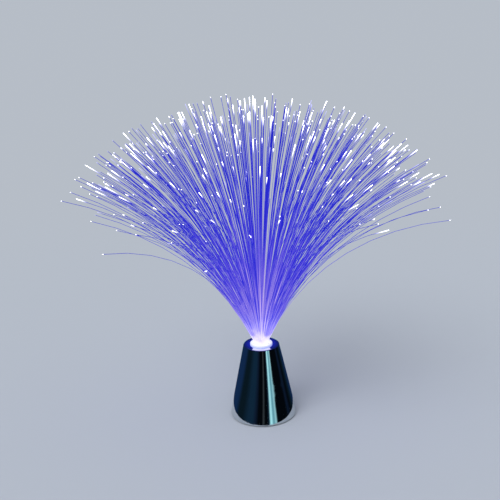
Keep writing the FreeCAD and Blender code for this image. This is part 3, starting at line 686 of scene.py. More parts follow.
def add_block(shape: BMesh, low: Sequence[float], high: Sequence[float], edge: float, segments: int = 2
              ) -> None:
    """Adds a box with rounded edges between two corners.

    Args:
        shape: The bmesh that it is added to.
        low: Lowest corner.
        high: Highest corner.
        edge: Radius of its edges.
        segments: Facets across each rounded edge.
    """
    low, high = Vector(low), Vector(high)
    verts = bmesh.ops.create_cube(shape, size=1.0)["verts"]
    bmesh.ops.scale(shape, verts=verts, vec=high - low)
    bmesh.ops.translate(shape, verts=verts, vec=(low + high) / 2)
    edges = [e for e in shape.edges if e.verts[0] in verts]
    round_edges(shape, edges, edge, segments)


def join(shape: BMesh, part: BMesh) -> None:
    """Moves one bmesh into another.

    Args:
        shape: The bmesh that grows.
        part: The bmesh that is added to it, and freed.
    """
    scrap = bpy.data.meshes.new("scrap")
    part.to_mesh(scrap)
    part.free()
    shape.from_mesh(scrap)
    bpy.data.meshes.remove(scrap)


def middle_of(node: str) -> Vector:
    """Returns the centre of a CAD node's box."""
    low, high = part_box(node)
    return (low + high) / 2


@dataclass
class PhotographView:
    """The camera, placed as the photograph's was: in front of the lamp and above it, rolled a little."""

    place: Point = (0.0, -0.904, 0.479)
    down: float = 17.73
    turn: float = -0.53
    roll: float = -2.19
    lens: float = 64.8
    sensor: float = 36.0
    clip: tuple[float, float] = (0.01, 100.0)

    def build(self) -> None:
        """Adds the camera and makes it the scene's."""
        data = bpy.data.cameras.new("photograph_view")
        data.sensor_fit, data.sensor_width, data.lens = "HORIZONTAL", self.sensor, self.lens
        data.clip_start, data.clip_end = self.clip
        camera = add_object("photograph_view", data)
        camera.matrix_world = Matrix.Translation(self.place)
        for degrees, axis in ((-self.turn, "Z"), (90.0 - self.down, "X"), (self.roll, "Z")):
            camera.matrix_world = camera.matrix_world @ Matrix.Rotation(math.radians(degrees), 4, axis)
        bpy.context.scene.camera = camera


@dataclass
class Studio:
    """Pale floor that runs on into a pale backdrop, soft light, and dark cards that only reflections see.

    The floor is open inside the ring that the lamp stands on and isn't seen from below, so that the underside
    of the lamp shows.
    """

    floor_radius: float = 6.0
    opening_radius: float = 32.2 * MM
    facets: int = 96
    backdrop: Colour = (0.47, 0.51, 0.57)
    grain: Colour = (0.44, 0.48, 0.54)
    fade_start: float = 0.35
    fade_end: float = 1.3
    sky: Colour = (0.60, 0.61, 0.63)
    sun_strength: float = 1.55
    sun_angle: float = 38.0
    sun_from: Point = (-0.45, -0.60, 0.95)
    card_radius: float = 0.060
    card_bottom: float = -0.03
    card_top: float = 0.097
    blue_top: float = 0.135
    blue: Colour = (0.009, 0.018, 0.13)
    high: Colour = (0.010, 0.028, 0.080)
    card_skew: float = 0.25
    card_middle: float = 0.040
    card_seam: float = 0.690
    roof_radius: float = 0.045
    roof_height: float = 0.40
    grain_per_metre: float = 6.0

    def build(self) -> None:
        """Builds the floor, the cards, the sky and the sun."""
        self.add_floor()
        self.add_cards()
        self.add_sky()
        self.add_sun()
        bpy.context.scene.view_settings.view_transform = "Standard"

    @staticmethod
    def seen(graph: Graph) -> Socket:
        """Share of a ray that sees the backdrop's own colour: camera rays and what metal or glass shows."""
        path = graph.node("ShaderNodeLightPath").outputs
        kinds = ("Camera", "Glossy", "Transmission")
        return graph.maths("MAXIMUM", *(path[f"Is {kind} Ray"] for kind in kinds))

    def add_stage(self, name: str, profile: Profile, graph: Graph, shader: Socket) -> None:
        """Adds a part of the stage: a profile turned about the lamp's axis, with its front up or outwards.

        Args:
            name: Its name.
            profile: (radius, height) corners.
            graph: Its material's tree.
            shader: The shader that the tree shows.
        """
        shape = bmesh.new()
        turn_profile(shape, profile, Matrix(), self.facets)
        lowest = min(shape.faces, key=lambda face: face.calc_center_median().z)
        if lowest.normal.dot(lowest.calc_center_median() + UP) < 0:
            bmesh.ops.reverse_faces(shape, faces=shape.faces)
        made = add_mesh(name, shape, graph.show(shader))

    def add_floor(self) -> None:
        """Adds the floor: real light and shadow near the lamp, and the backdrop's even colour far from it."""
        graph = Graph(bpy.data.materials.new("studio_floor"))
        grain = graph.span(graph.noise(self.grain_per_metre, 2.0), *MOST, 0.0, 0.03)
        cloth = graph.socket("ShaderNodeBsdfDiffuse", {"Color": graph.mix(grain, self.backdrop, self.grain)})
        even = graph.socket("ShaderNodeEmission", {"Color": opaque(self.backdrop), "Strength": 1.0})
        far = graph.span(graph.from_axis(), self.fade_start, self.fade_end)
        top = graph.blend(graph.maths("MULTIPLY", far, self.seen(graph)), cloth, even)
        under = graph.socket("ShaderNodeNewGeometry", output="Backfacing")
        floor = graph.blend(under, top, graph.socket("ShaderNodeBsdfTransparent"))
        self.add_stage("studio_floor", [(self.opening_radius, 0.0), (self.floor_radius, 0.0)], graph, floor)

    def add_cards(self) -> None:
        """Adds the ring of cards and lamps that the chrome reflects, painted round the lamp by direction.

        The ramp runs from behind the lamp, by its left side, to the front at 0.5, and on by the right side.
        """
        graph = Graph(bpy.data.materials.new("studio_cards"))
        split = graph.split()
        angle = graph.maths("ARCTAN2", split["X"], graph.maths("MULTIPLY", split["Y"], -1.0))
        turn = graph.maths("ADD", graph.maths("DIVIDE", angle, math.tau), 0.5)
        rise = graph.maths("SUBTRACT", split["Z"], self.card_middle)
        slanted = graph.maths("SUBTRACT", turn, graph.maths("MULTIPLY", rise, self.card_skew))
        black, dark, mid = (0.0015, 0.003, 0.005), (0.004, 0.012, 0.020), (0.006, 0.014, 0.035)
        teal, slate, line = (0.007, 0.026, 0.055), (0.008, 0.028, 0.088), (0.038, 0.046, 0.052)
        bright, middle, second = (0.56, 1.10, 1.16), (0.19, 0.48, 0.55), (0.40, 0.76, 0.82)
        stops = (
            (0.000, teal), (0.040, dark), (0.056, bright), (0.066, middle), (0.084, second), (0.092, dark),
            (0.120, slate), (0.255, slate), (0.300, dark), (0.345, dark), (0.395, teal), (0.428, teal),
            (0.448, mid), (0.468, black), (0.497, black), (0.503, line), (0.509, line), (0.515, black),
            (0.533, black), (0.546, teal), (0.555, bright), (0.564, bright), (0.571, middle), (0.582, middle),
            (0.589, second), (0.594, second), (0.603, black), (self.card_seam, black),
        )
        later = (
            (self.card_seam, black), (0.712, mid), (0.745, black), (0.780, dark), (0.840, slate),
            (0.905, slate), (0.925, dark), (0.936, bright), (0.944, second), (0.954, dark), (0.980, teal),
            (1.000, teal),
        )
        past_seam = graph.maths("GREATER_THAN", slanted, self.card_seam)
        around = graph.mix(past_seam, graph.ramp(slanted, stops), graph.ramp(slanted, later))
        low_blue = graph.span(split["Z"], self.card_top - 8 * MM, self.card_top + 5 * MM)
        high_up = graph.span(split["Z"], self.blue_top - 8 * MM, self.blue_top + 25 * MM)
        above = graph.mix(high_up, self.blue, graph.mix(0.5, around, self.high))
        colour = graph.mix(low_blue, around, above)
        glow = graph.socket("ShaderNodeEmission", {"Color": colour, "Strength": 1.0})
        glossy = graph.socket("ShaderNodeLightPath", output="Is Glossy Ray")
        inside = graph.socket("ShaderNodeNewGeometry", output="Backfacing")
        clear = graph.socket("ShaderNodeBsdfTransparent")
        cards = graph.blend(graph.maths("MULTIPLY", glossy, inside), clear, glow)
        profile = [
            (self.card_radius, self.card_bottom), (self.card_radius, self.card_top),
            (0.8 * self.card_radius, 0.7 * self.roof_height), (self.roof_radius, self.roof_height),
        ]
        self.add_stage("studio_cards", profile, graph, cards)

    def add_sky(self) -> None:
        """Sets a world that lights evenly and shows the backdrop's colour."""
        graph = Graph(bpy.data.worlds.new("studio_sky"), "ShaderNodeOutputWorld")
        colour = graph.mix(self.seen(graph), self.sky, self.backdrop)
        bpy.context.scene.world = graph.show(graph.socket("ShaderNodeBackground", {"Color": colour}))

    def add_sun(self) -> None:
        """Adds one wide, soft sun from the front left."""
        data = bpy.data.lights.new("soft_sun", "SUN")
        data.energy = self.sun_strength
        data.angle = math.radians(self.sun_angle)
        sun = add_object("soft_sun", data)
        sun.rotation_mode = "QUATERNION"
        sun.rotation_quaternion = Vector(self.sun_from).to_track_quat("Z", "Y")


class Assembly:
    """A sub-assembly of the lamp."""

    def wears(self) -> dict[str, Finish]:
        """Returns the finish of each of its CAD nodes."""
        raise NotImplementedError

    def dress(self) -> None:
        """Gives every material slot of its CAD nodes its finish."""
        for name, finish in self.wears().items():
            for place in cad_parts[name].material_slots:
                place.material = finish.material()
            LOG.info("dressed %s in %s", name, finish.name)

    def build(self) -> None:
        """Adds its own pieces, if its solids don't show all of it."""


@dataclass
class Cone(Assembly):
    """The mirror-chromed cone."""

    chrome: MirrorChrome = MirrorChrome("mirror_chrome")

    def wears(self) -> dict[str, Finish]:
        """Plates the cone."""
        return {"chrome_shell": self.chrome}


@dataclass
class Cover(Assembly):
    """The black battery cover with its rubber ring and screws, and the words beside the switch."""

    word_height: float = 2.8 * MM
    word_rise: float = 0.25 * MM
    word_gap: float = 1.0 * MM
    word_bevel: float = 0.04 * MM
    pocket_half_length: float = 5.25 * MM
    plastic: Moulded = BLACK_ABS
    rubber: Moulded = Moulded("foot_rubber_finish", colour=(0.022, 0.022, 0.022), scuff=(0.10, 0.095, 0.09),
                              roughness=0.78, grain_per_metre=1500.0, grain_depth=0.03 * MM)

    def wears(self) -> dict[str, Finish]:
        """Finishes the cover, its ring and its screws."""
        return {"bottom_cover": self.plastic, "foot_ring": self.rubber, "cover_screws": ZINC}

    def add_word(self, text: str, side: int) -> None:
        """Adds one raised word beside the switch's pocket, to be read from below.

        Args:
            text: The word.
            side: +1 to put it on the pocket's +X side, -1 on its -X side.
        """
        curve = bpy.data.curves.new(f"word_{text}", "FONT")
        curve.body = text
        curve.size = self.word_height
        curve.extrude = self.word_rise
        curve.bevel_depth = self.word_bevel
        curve.bevel_resolution = 1
        curve.resolution_u = 3
        curve.align_x, curve.align_y = ("LEFT" if side > 0 else "RIGHT"), "CENTER"
        holder = add_object(curve.name, curve)
        bpy.context.view_layer.update()
        mesh = bpy.data.meshes.new_from_object(holder.evaluated_get(bpy.context.evaluated_depsgraph_get()))
        bpy.data.objects.remove(holder)
        low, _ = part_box("bottom_cover")
        spot = (side * (self.pocket_half_length + self.word_gap), middle_of("switch_slider").y, low.z)
        mesh.transform(Matrix.Translation(spot) @ Matrix.Rotation(math.pi, 4, "X"))
        shape = bmesh.new()
        shape.from_mesh(mesh)
        bpy.data.meshes.remove(mesh)
        bmesh.ops.remove_doubles(shape, verts=shape.verts, dist=0.001 * MM)
        add_piece(f"cover_word_{text.lower()}", shape, self.plastic, Body.BASE)

    def build(self) -> None:
        """Adds ON at the knob's ON end, and OFF at the other."""
        self.add_word("ON", 1)
        self.add_word("OFF", -1)


@dataclass
class BatteryDoor(Assembly):
    """The battery door, its foam pad, and the raised arrow that points to its latch."""

    arrow_radius: float = 3.2 * MM
    arrow_rise: float = 0.3 * MM
    arrow_from_latch: float = 11.0 * MM
    foam_round: float = 0.3 * MM
    foam_crown: float = 0.12 * MM
    arrow_bevel: float = 0.12 * MM
    foam_cuts: int = 11
    plastic: Moulded = BLACK_ABS
    foam: OpenFoam = OpenFoam("dark_foam")

    def wears(self) -> dict[str, Finish]:
        """Finishes the door."""
        return {"battery_door": self.plastic}

    def build(self) -> None:
        """Adds the arrow and the pad."""
        self.add_arrow()
        self.add_pad()

    def add_arrow(self) -> None:
        """Adds a raised triangle that points towards the latch."""
        low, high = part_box("battery_door")
        shape = bmesh.new()
        place = Matrix.Translation((high.x - self.arrow_from_latch - self.arrow_radius, 0.0, low.z))
        turned = place @ Matrix.Rotation(-math.pi / 2, 4, "Z")
        bmesh.ops.create_circle(shape, cap_ends=True, radius=self.arrow_radius, segments=3, matrix=turned)
        grown = bmesh.ops.extrude_face_region(shape, geom=list(shape.faces))
        verts = [g for g in grown["geom"] if isinstance(g, BMVert)]
        bmesh.ops.translate(shape, verts=verts, vec=(0.0, 0.0, -self.arrow_rise))
        bmesh.ops.recalc_face_normals(shape, faces=shape.faces)
        rim = [e for e in shape.edges if all(v in verts for v in e.verts)]
        round_edges(shape, rim, self.arrow_bevel, 2)
        add_piece("door_arrow", shape, self.plastic, Body.DOOR)

    def add_pad(self) -> None:
        """Adds the foam pad: a slab with soft edges and a slight crown, in the CAD pad's space."""
        low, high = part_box("door_foam")
        size, middle = high - low, (low + high) / 2
        shape = bmesh.new()
        add_block(shape, low, high, self.foam_round, 3)
        long_edges = [e for e in shape.edges if e.calc_length() > 0.5 * min(size.x, size.y)]
        bmesh.ops.subdivide_edges(shape, edges=long_edges, cuts=self.foam_cuts, use_grid_fill=True)
        for vert in shape.verts:
            if vert.co.z > middle.z:
                off = vert.co - middle
                vert.co.z -= self.foam_crown * max(abs(2 * off.x / size.x), abs(2 * off.y / size.y)) ** 6
        pad = add_piece("foam_pad", shape, self.foam, Body.DOOR, ["door_foam"])


@dataclass
class Cells(Assembly):
    """Three cells with their shrink sleeves, and the nickel-plated contacts and springs."""

    sleeve_rise: float = 0.08 * MM
    sleeve_clearance: float = 0.01 * MM
    sleeve_steps: int = 48
    sleeve_roll: float = 0.35 * MM
    nub_length: float = 1.0 * MM
    numbers: tuple[int, ...] = (1, 2, 3)
    steel: Metal = Metal("cell_steel", colour=(0.66, 0.66, 0.66), roughness=0.2, brush_depth=0.004 * MM)
    nickel: Metal = Metal("nickel_plate", colour=(0.70, 0.67, 0.60), tarnish=(0.50, 0.45, 0.36),
                          roughness=0.22, brush=(1.0, 1.0, 0.08))
    spring: Metal = Metal("spring_wire", colour=(0.66, 0.65, 0.61), roughness=0.2, brush_per_metre=5000.0)

    def wears(self) -> dict[str, Finish]:
        """Finishes the cells' steel, the contacts and the springs."""
        cells = {f"battery_cell_{k}": self.steel for k in self.numbers}
        plates = {f"contact_{name}": self.nickel for name in ("positive", "negative", "bridge_1", "bridge_2")}
        return cells | plates | {f"contact_spring_{k}": self.spring for k in self.numbers}

    def build(self) -> None:
        """Adds each cell's sleeve."""
        for k in self.numbers:
            self.add_sleeve(k)

    def add_sleeve(self, k: int) -> None:
        """Adds the sleeve of one cell: a thin tube that rolls over the can's edge at each end.

        Args:
            k: Number of the cell; the positive end of odd cells points to +X.
        """
        low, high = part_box(f"battery_cell_{k}")
        side = 1.0 if k % 2 else -1.0
        can_radius = (high.z - low.z) / 2
        half = (high.x - low.x - self.nub_length) / 2
        middle_x = (low.x + high.x) / 2 - side * self.nub_length / 2
        middle = (middle_x, (low.y + high.y) / 2, (low.z + high.z) / 2)
        roll, reach = self.sleeve_roll, half + self.sleeve_rise
        outer, lip = can_radius + self.sleeve_rise, can_radius - 1.3 * roll
        end = [
            (can_radius - self.sleeve_clearance, half - roll), (can_radius - 0.4 * roll, half - 0.2 * roll),
            (lip, half + self.sleeve_clearance), (lip, reach), (outer - roll, reach),
            (outer - 0.3 * roll, reach - 0.3 * roll), (outer, reach - roll),
        ]
        other_end = [(radius, -along) for radius, along in reversed(end)]
        place = Matrix.Translation(middle) @ Matrix.Rotation(math.pi / 2, 4, "Y")
        shape = bmesh.new()
        turn_profile(shape, end + other_end, place, self.sleeve_steps, closed=True)
        finish = CellSleeve(f"cell_sleeve_{k}", side=side, middle=middle, half_length=half)
        add_piece(f"cell_sleeve_{k}", shape, finish, Body.BASE)


@dataclass(frozen=True)
class SolderBeads:
    """Soft solder cones, one bmesh for each thing that they sit on."""

    steps: int = 14
    outline: Profile = (
        (0.0, 0.0), (1.0, 0.0), (0.92, 0.12), (0.62, 0.4), (0.42, 0.72), (0.28, 0.94), (0.0, 1.0))
    tin: Metal = Metal("soft_solder", colour=(0.58, 0.59, 0.60), tarnish=(0.42, 0.42, 0.42), roughness=0.3)

    def add(self, name: str, beads: Sequence[tuple[Vector, Vector, float, float]]) -> None:
        """Adds a group of beads as one piece.

        Args:
            name: Name of the piece.
            beads: For each bead its foot's centre, its direction, its radius and its height.
        """
        shape = bmesh.new()
        for foot, direction, radius, height in beads:
            place = Matrix.Translation(foot) @ direction.to_track_quat("Z", "Y").to_matrix().to_4x4()
            profile = [(wide * radius, high * height) for wide, high in self.outline]
            one = bmesh.new()
            turn_profile(one, profile, place, self.steps)
            join(shape, one)
        add_piece(name, shape, self.tin, Body.BASE)


@dataclass
class Switch(Assembly):
    """The slide switch behind the cover."""

    terminal_pitch: float = 2.5 * MM
    bead_radius: float = 0.75 * MM
    bead_height: float = 1.3 * MM
    knob_plastic: Moulded = Moulded("knob_abs", colour=(0.014, 0.014, 0.015), roughness=0.36,
                                    grain_per_metre=3600.0, grain_depth=0.012 * MM)
    tin_plate: Metal = Metal("tin_plate", colour=(0.63, 0.64, 0.65), brush=(0.08, 1.0, 1.0))
    laminate: Moulded = Moulded("brown_laminate", colour=(0.16, 0.075, 0.03), scuff=(0.26, 0.15, 0.08),
                                roughness=0.55, grain_per_metre=1800.0)
    brass: Metal = Metal("tinned_brass", colour=(0.72, 0.60, 0.34), tarnish=(0.45, 0.34, 0.18),
                         roughness=0.28)
    solder: SolderBeads = SolderBeads()

    def wears(self) -> dict[str, Finish]:
        """Finishes the can, the base, the terminals, the slider and the screws."""
        return {
            "switch_can": self.tin_plate,
            "switch_base": self.laminate,
            "switch_terminals": self.brass,
            "switch_slider": self.knob_plastic,
            "switch_screws": ZINC,
        }

    def build(self) -> None:
        """Adds solder to the two terminals that carry a wire."""
        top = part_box("switch_base")[1].z
        centre = middle_of("switch_terminals")
        spots = [Vector((x, centre.y, top)) for x in (0.0, self.terminal_pitch)]
        self.solder.add("switch_solder", [(spot, UP, self.bead_radius, self.bead_height) for spot in spots])


@dataclass
class LightBoard(Assembly):
    """The light board under the bundle: LEDs, resistors, chip, screws, solder, and the white socket."""

    lead_spacing: float = 2.54 * MM
    bead_radius: float = 0.85 * MM
    bead_height: float = 1.0 * MM
    band_rise: float = 0.02 * MM
    band_sink: float = 0.05 * MM
    band_width: float = 0.38 * MM
    band_start: float = 0.2
    band_step: float = 0.3
    post_foot: float = 0.3 * MM
    post_share: float = 0.62
    post_half_thickness: float = 0.22 * MM
    post_round: float = 0.06 * MM
    posts: tuple[tuple[float, float, float], ...] = (
        (-1.35 * MM, -0.45 * MM, 0.0), (-0.05 * MM, 1.45 * MM, 0.5 * MM))
    cup_x: float = 0.6 * MM
    cup_drop: float = 0.5 * MM
    cup_profile: Profile = (
        (0.0, 0.0), (0.55 * MM, 0.0), (0.78 * MM, 0.5 * MM), (0.66 * MM, 0.5 * MM), (0.4 * MM, 0.12 * MM),
        (0.0, 0.12 * MM))
    resistor_count: int = 3
    resistor_pitch: float = 3.5 * MM
    socket_plastic: Moulded = Moulded("white_abs", colour=(0.78, 0.79, 0.78), scuff=(0.62, 0.62, 0.60),
                                      roughness=0.4, grain_per_metre=2200.0, grain_depth=0.015 * MM)
    mask: SolderMask = SolderMask("solder_mask")
    chip: Moulded = Moulded("chip_epoxy", colour=(0.025, 0.025, 0.026), roughness=0.6, grain_per_metre=5000.0)
    enamel: Moulded = Moulded("resistor_enamel", colour=(0.58, 0.43, 0.24), scuff=(0.5, 0.38, 0.22),
                              roughness=0.35, grain_per_metre=3000.0, grain_depth=0.008 * MM)
    steel: Metal = Metal("lead_tin", colour=(0.66, 0.66, 0.65), roughness=0.26, brush_per_metre=4000.0)
    solder: SolderBeads = SolderBeads()
    lens_colours: tuple[tuple[str, Colour], ...] = (
        ("red", (1.0, 0.12, 0.10)), ("green", (0.10, 1.0, 0.25)), ("blue", (0.12, 0.22, 1.0)))
    band_colours: tuple[tuple[str, Colour], ...] = (
        ("brown", (0.09, 0.03, 0.01)), ("black", (0.01, 0.01, 0.01)), ("gold", (0.45, 0.30, 0.08)))

    def wears(self) -> dict[str, Finish]:
        """Finishes the socket, the board and everything on it."""
        return {
            "bundle_socket": self.socket_plastic,
            "led_board": self.mask,
            "led_leads": self.steel,
            "board_screws": ZINC,
            "resistors": self.enamel,
            "control_chip": self.chip,
        } | {f"led_{name}": TintedLens(f"{name}_lens", colour=colour) for name, colour in self.lens_colours}

    def build(self) -> None:
        """Adds the LEDs' inner frames, the resistors' bands and the solder."""
        for name, _ in self.lens_colours:
            self.add_led_frame(name)
        for place, (name, colour) in enumerate(self.band_colours):
            self.add_bands(name, colour, place)
        self.add_solder()

    def add_led_frame(self, name: str) -> None:
        """Adds the post and the cup inside one LED's lens.

        Args:
            name: Colour of the LED.
        """
        low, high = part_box(f"led_{name}")
        middle = (low + high) / 2
        foot, cup_z = low.z + self.post_foot, low.z + self.post_share * (high.z - low.z)
        shape = bmesh.new()
        for start, end, drop in self.posts:
            low_corner = (middle.x + start, middle.y - self.post_half_thickness, foot)
            high_corner = (middle.x + end, middle.y + self.post_half_thickness, cup_z - drop)
            add_block(shape, low_corner, high_corner, self.post_round)
        cup = bmesh.new()
        spot = (middle.x + self.cup_x, middle.y, cup_z - self.cup_drop)
        turn_profile(cup, self.cup_profile, Matrix.Translation(spot), 16)
        join(shape, cup)
        add_piece(f"led_frame_{name}", shape, self.steel, Body.BASE)

    def add_bands(self, name: str, colour: Colour, place: int) -> None:
        """Adds one coloured band to each resistor.

        Args:
            name: Colour's name.
            colour: The paint.
            place: Which band it is, from the +Y end.
        """
        low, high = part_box("resistors")
        radius = (high.z - low.z) / 2
        y = high.y - (high.y - low.y) * (self.band_start + self.band_step * place)
        inner, outer, half = radius - self.band_sink, radius + self.band_rise, self.band_width / 2
        loop = [(inner, -half), (outer, -half), (outer, half), (inner, half)]
        shape = bmesh.new()
        for k in range(self.resistor_count):
            x = (k - (self.resistor_count - 1) / 2) * self.resistor_pitch
            spot = Matrix.Translation((x, y, (low.z + high.z) / 2)) @ Matrix.Rotation(math.pi / 2, 4, "X")
            turn_profile(shape, loop, spot, closed=True)
        paint = Moulded(f"band_{name}", colour=colour, scuff=colour, roughness=0.35, grain_depth=0.004 * MM)
        add_piece(f"resistor_band_{name}", shape, paint, Body.BASE)

    def add_solder(self) -> None:
        """Adds solder round every lead under the board."""
        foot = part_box("led_board")[0].z
        beads = []
        for name, _ in self.lens_colours:
            centre = middle_of(f"led_{name}")
            for side in (-1, 1):
                spot = Vector((centre.x + side * self.lead_spacing / 2, centre.y, foot))
                beads.append((spot, -UP, self.bead_radius, self.bead_height))
        self.solder.add("board_solder", beads)


@dataclass
class Wires(Assembly):
    """The three wires inside the cone."""

    red: Insulation = Insulation("red_pvc", colour=(0.48, 0.02, 0.015))
    yellow: Insulation = Insulation("yellow_pvc", colour=(0.70, 0.47, 0.03))
    black: Insulation = Insulation("black_pvc", colour=(0.02, 0.02, 0.022))

    def wears(self) -> dict[str, Finish]:
        """Colours the wires."""
        return {"wire_positive": self.red, "wire_switched": self.yellow, "wire_negative": self.black}


@dataclass
class Collar(Assembly):
    """The frosted collar that glows in the cone's top."""

    frost: FrostedGlow = FrostedGlow("frosted_glow")

    def wears(self) -> dict[str, Finish]:
        """Frosts and lights the collar."""
        return {"collar": self.frost}


@dataclass(frozen=True)
class FibreLay:
    """How one fibre lies: out of the bundle, a short straight run, a bend at the mouth and a long arc."""

    reach: float
    root: Vector
    outward: Vector
    first_lean: float
    last_lean: float
    length: float
    long_bend: float


@dataclass
class Bundle(Assembly):
    """The ferrule, the cast root and the fountain of fibres."""

    count: int = 200
    layers: int = 8
    diameter: float = 0.75 * MM
    gap: float = 0.03 * MM
    exit_z: float = 80.5 * MM
    length: float = 273.0 * MM
    straight: float = 0.6 * MM
    mouth_bend: float = 15.0 * MM
    start_lean: float = 24.0
    end_lean: float = 70.0
    stray_lean: float = 20.0
    least_lean: float = 1.0
    lean_spread: float = 2.0
    turn_spread: float = 2.2
    shortest_share: float = 0.9
    tufts: tuple[tuple[int, float, float], ...] = ((5, 4.0, 1.3), (9, 2.0, 0.4))
    swells: tuple[tuple[int, float, float], ...] = ((3, 2.4, 0.8), (7, 1.8, 2.6))
    closest_roots: float = 1.546
    shown_diameter: float = 0.48 * MM
    fine_count: int = 400
    fine_offset: float = 1.2
    fine_end_lean: float = 66.0
    fine_stray_lean: float = 3.0
    sides: int = 4
    mouth_steps: int = 2
    long_steps: int = 9
    value_names: tuple[str, ...] = ("from_root", "from_tip", "streak", "tint", "end")
    tip_dome: float = 0.15 * MM
    warm_rarity: float = 1.8
    rim_coolness: float = 0.65
    dim_end: float = 0.12
    dim_below: float = -0.1
    tip_share: float = 0.6
    dot: float = 1.6 * MM
    longest_streak: float = 24.0 * MM
    aluminium: Metal = Metal("satin_aluminium", colour=(0.74, 0.75, 0.77), tarnish=(0.6, 0.6, 0.6),
                             roughness=0.3, brush=(0.1, 0.1, 3.0), brush_depth=0.01 * MM)
    resin: CastResin = CastResin("cast_resin")
    light: GlowingFibre = GlowingFibre("glowing_fibre")

    def wears(self) -> dict[str, Finish]:
        """Finishes the ferrule and the root."""
        return {"ferrule": self.aluminium, "fibre_root": self.resin}

    def build(self) -> None:
        """Adds the fibres, one piece for each CAD layer: those of the layer, and finer ones between them."""
        for layer in range(self.layers):
            shape = bmesh.new()
            for total, fine in ((self.count, False), (self.fine_count, True)):
                share = total // self.layers
                for index in range(layer * share, (layer + 1) * share):
                    join(shape, self.grow(index, fine))
            node = f"fibres_layer_{layer + 1}"
            add_piece(f"fibre_spray_{layer + 1}", shape, self.light, Body.BUNDLE, [node], 80.0)

    @staticmethod
    def scatter(index: int, salt: int) -> float:
        """Returns a value from -1 to 1 that looks random and is the same each time."""
        value = math.sin(index * 12.9898 + salt * 78.233) * 43758.5453
        return 2 * (value - math.floor(value)) - 1

    @staticmethod
    def waves(series: Sequence[tuple[int, float, float]], azimuth: float) -> float:
        """Returns the sum of slow waves round the bundle, in degrees."""
        return sum(size * math.sin(turns * azimuth + phase) for turns, size, phase in series)

    def lay(self, index: int, fine: bool) -> FibreLay:
        """Works out how a fibre lies, by the same rule as its solid.

        Args:
            index: Its number, from the middle of the bundle outwards.
            fine: True for a fibre between those of the solids.

        Returns:
            The fibre's lay.
        """
        golden_angle = math.pi * (3 - math.sqrt(5))
        reach = math.sqrt((index + 0.5) / (self.fine_count if fine else self.count))
        azimuth = index * golden_angle + (self.fine_offset if fine else 0.0)
        out = reach * math.sqrt(self.count) * (self.diameter + self.gap) / self.closest_roots
        stray_lean = self.fine_stray_lean if fine else self.stray_lean
        seed = index + self.count if fine else index
        turn = self.waves(self.tufts, azimuth) + self.turn_spread * self.scatter(seed, 1)
        side = azimuth + math.radians(reach * turn)
        stray = stray_lean * reach ** 12 * (0.5 + 0.5 * self.scatter(seed, 2)) ** 2
        first = max(self.least_lean, self.start_lean * reach)
        swell = self.waves(self.swells, azimuth)
        end_lean = self.fine_end_lean if fine else self.end_lean
        more = reach * (end_lean - self.start_lean + swell) + stray + self.lean_spread * self.scatter(seed, 3)
        last = first + max(self.least_lean, more)
        length = self.length * (1 - (1 - self.shortest_share) * abs(self.scatter(seed, 4)) ** 1.5)
        first_lean, last_lean = math.radians(first), math.radians(last)
        arc = length - self.straight - self.mouth_bend * first_lean
        return FibreLay(
            reach=reach,
            root=Vector((out * math.cos(azimuth), out * math.sin(azimuth), self.exit_z)),
            outward=Vector((math.cos(side), math.sin(side), 0.0)),
            first_lean=first_lean,
            last_lean=last_lean,
            length=length,
            long_bend=arc / (last_lean - first_lean),
        )

    def grow(self, index: int, fine: bool) -> BMesh:
        """Makes one fibre, ring by ring from its root to its tip, and marks each ring with its place.

        Args:
            index: Number of the fibre.
            fine: True for a fibre between those of the solids.

        Returns:
            The fibre.
        """
        shape = bmesh.new()
        layers = {name: shape.verts.layers.float.new(name) for name in self.value_names}
        lay = self.lay(index, fine)
        seed = index + self.count if fine else index
        # Half of the ends are dots. The rest shine further back, and a fine fibre's end is often dim.
        draw = abs(self.scatter(seed, 6))
        streak = self.dot + self.longest_streak * max(0.0, 2 * draw - 1) ** 0.8
        end = self.dim_end if fine and self.scatter(seed, 5) <= self.dim_below else 1.0
        warmth = (0.5 + 0.5 * self.scatter(seed, 7)) ** self.warm_rarity
        tint = warmth * (1.0 - self.rim_coolness * lay.reach ** 3)

        def mark(ring: Iterable[BMVert], along: float) -> None:
            """Writes a ring's values, at its place along the fibre."""
            for vert in ring:
                for name, value in zip(self.value_names, (along, lay.length - along, streak, tint, end)):
                    vert[layers[name]] = value

        ring = bmesh.ops.create_circle(shape, cap_ends=False, radius=self.shown_diameter / 2,
                                       segments=self.sides, matrix=Matrix.Translation(lay.root))["verts"]
        edges = list(shape.edges)
        mark(ring, 0.0)
        bmesh.ops.contextual_create(shape, geom=edges)
        ring, edges = self.extend(shape, edges, UP * self.straight)
        mark(ring, self.straight)

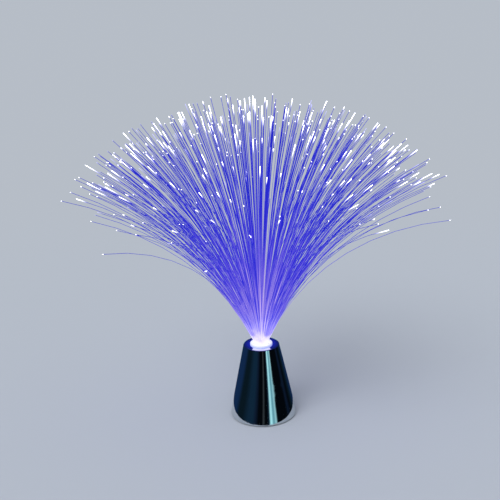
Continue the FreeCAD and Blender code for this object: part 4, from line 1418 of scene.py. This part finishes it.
        axis = UP.cross(lay.outward)
        along, spot, lean = self.straight, lay.root + UP * self.straight, 0.0
        long_angle = lay.last_lean - lay.first_lean - self.tip_dome / lay.long_bend
        mouth = (self.mouth_bend, lay.first_lean, self.mouth_steps)
        for bend, angle, steps in (mouth, (lay.long_bend, long_angle, self.long_steps)):
            centre = spot + bend * (lay.outward * math.cos(lean) - UP * math.sin(lean))
            for _ in range(steps):
                spun = bmesh.ops.spin(shape, geom=edges, cent=centre, axis=axis, angle=angle / steps, steps=1,
                                      use_duplicate=False)["geom_last"]
                edges = [g for g in spun if isinstance(g, BMEdge)]
                along += bend * angle / steps
                mark([g for g in spun if isinstance(g, BMVert)], along)
            lean += angle
            spot = centre - bend * (lay.outward * math.cos(lean) - UP * math.sin(lean))
        direction = UP * math.cos(lean) + lay.outward * math.sin(lean)
        ring, edges = self.extend(shape, edges, direction * self.tip_dome)
        middle = sum((v.co for v in ring), Vector()) / len(ring)
        bmesh.ops.scale(shape, verts=ring, vec=[self.tip_share] * 3, space=Matrix.Translation(-middle))
        bmesh.ops.contextual_create(shape, geom=edges)
        mark(ring, lay.length)
        bmesh.ops.recalc_face_normals(shape, faces=shape.faces)
        return shape

    @staticmethod
    def extend(shape: BMesh, edges: Sequence[BMEdge], step: Vector
               ) -> tuple[list[BMVert], list[BMEdge]]:
        """Extrudes a ring of edges by a step.

        Args:
            shape: The bmesh.
            edges: The ring.
            step: How far it goes, as a vector.

        Returns:
            The new ring's vertices and edges.
        """
        grown = bmesh.ops.extrude_edge_only(shape, edges=edges)["geom"]
        ring = [g for g in grown if isinstance(g, BMVert)]
        bmesh.ops.translate(shape, verts=ring, vec=step)
        return ring, [g for g in grown if isinstance(g, BMEdge)]


def main() -> None:
    """Builds the view and the studio, then dresses and builds each sub-assembly."""
    logging.basicConfig(level=logging.INFO, format="%(name)s: %(message)s")
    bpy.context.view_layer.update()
    PhotographView().build()
    Studio().build()
    for kind in (Cone, Wires, Collar, Cover, BatteryDoor, Cells, Switch, LightBoard, Bundle):
        LOG.info("building %s", kind.__name__)
        group = kind()
        group.dress()
        group.build()


if __name__ == "__main__":
    main()
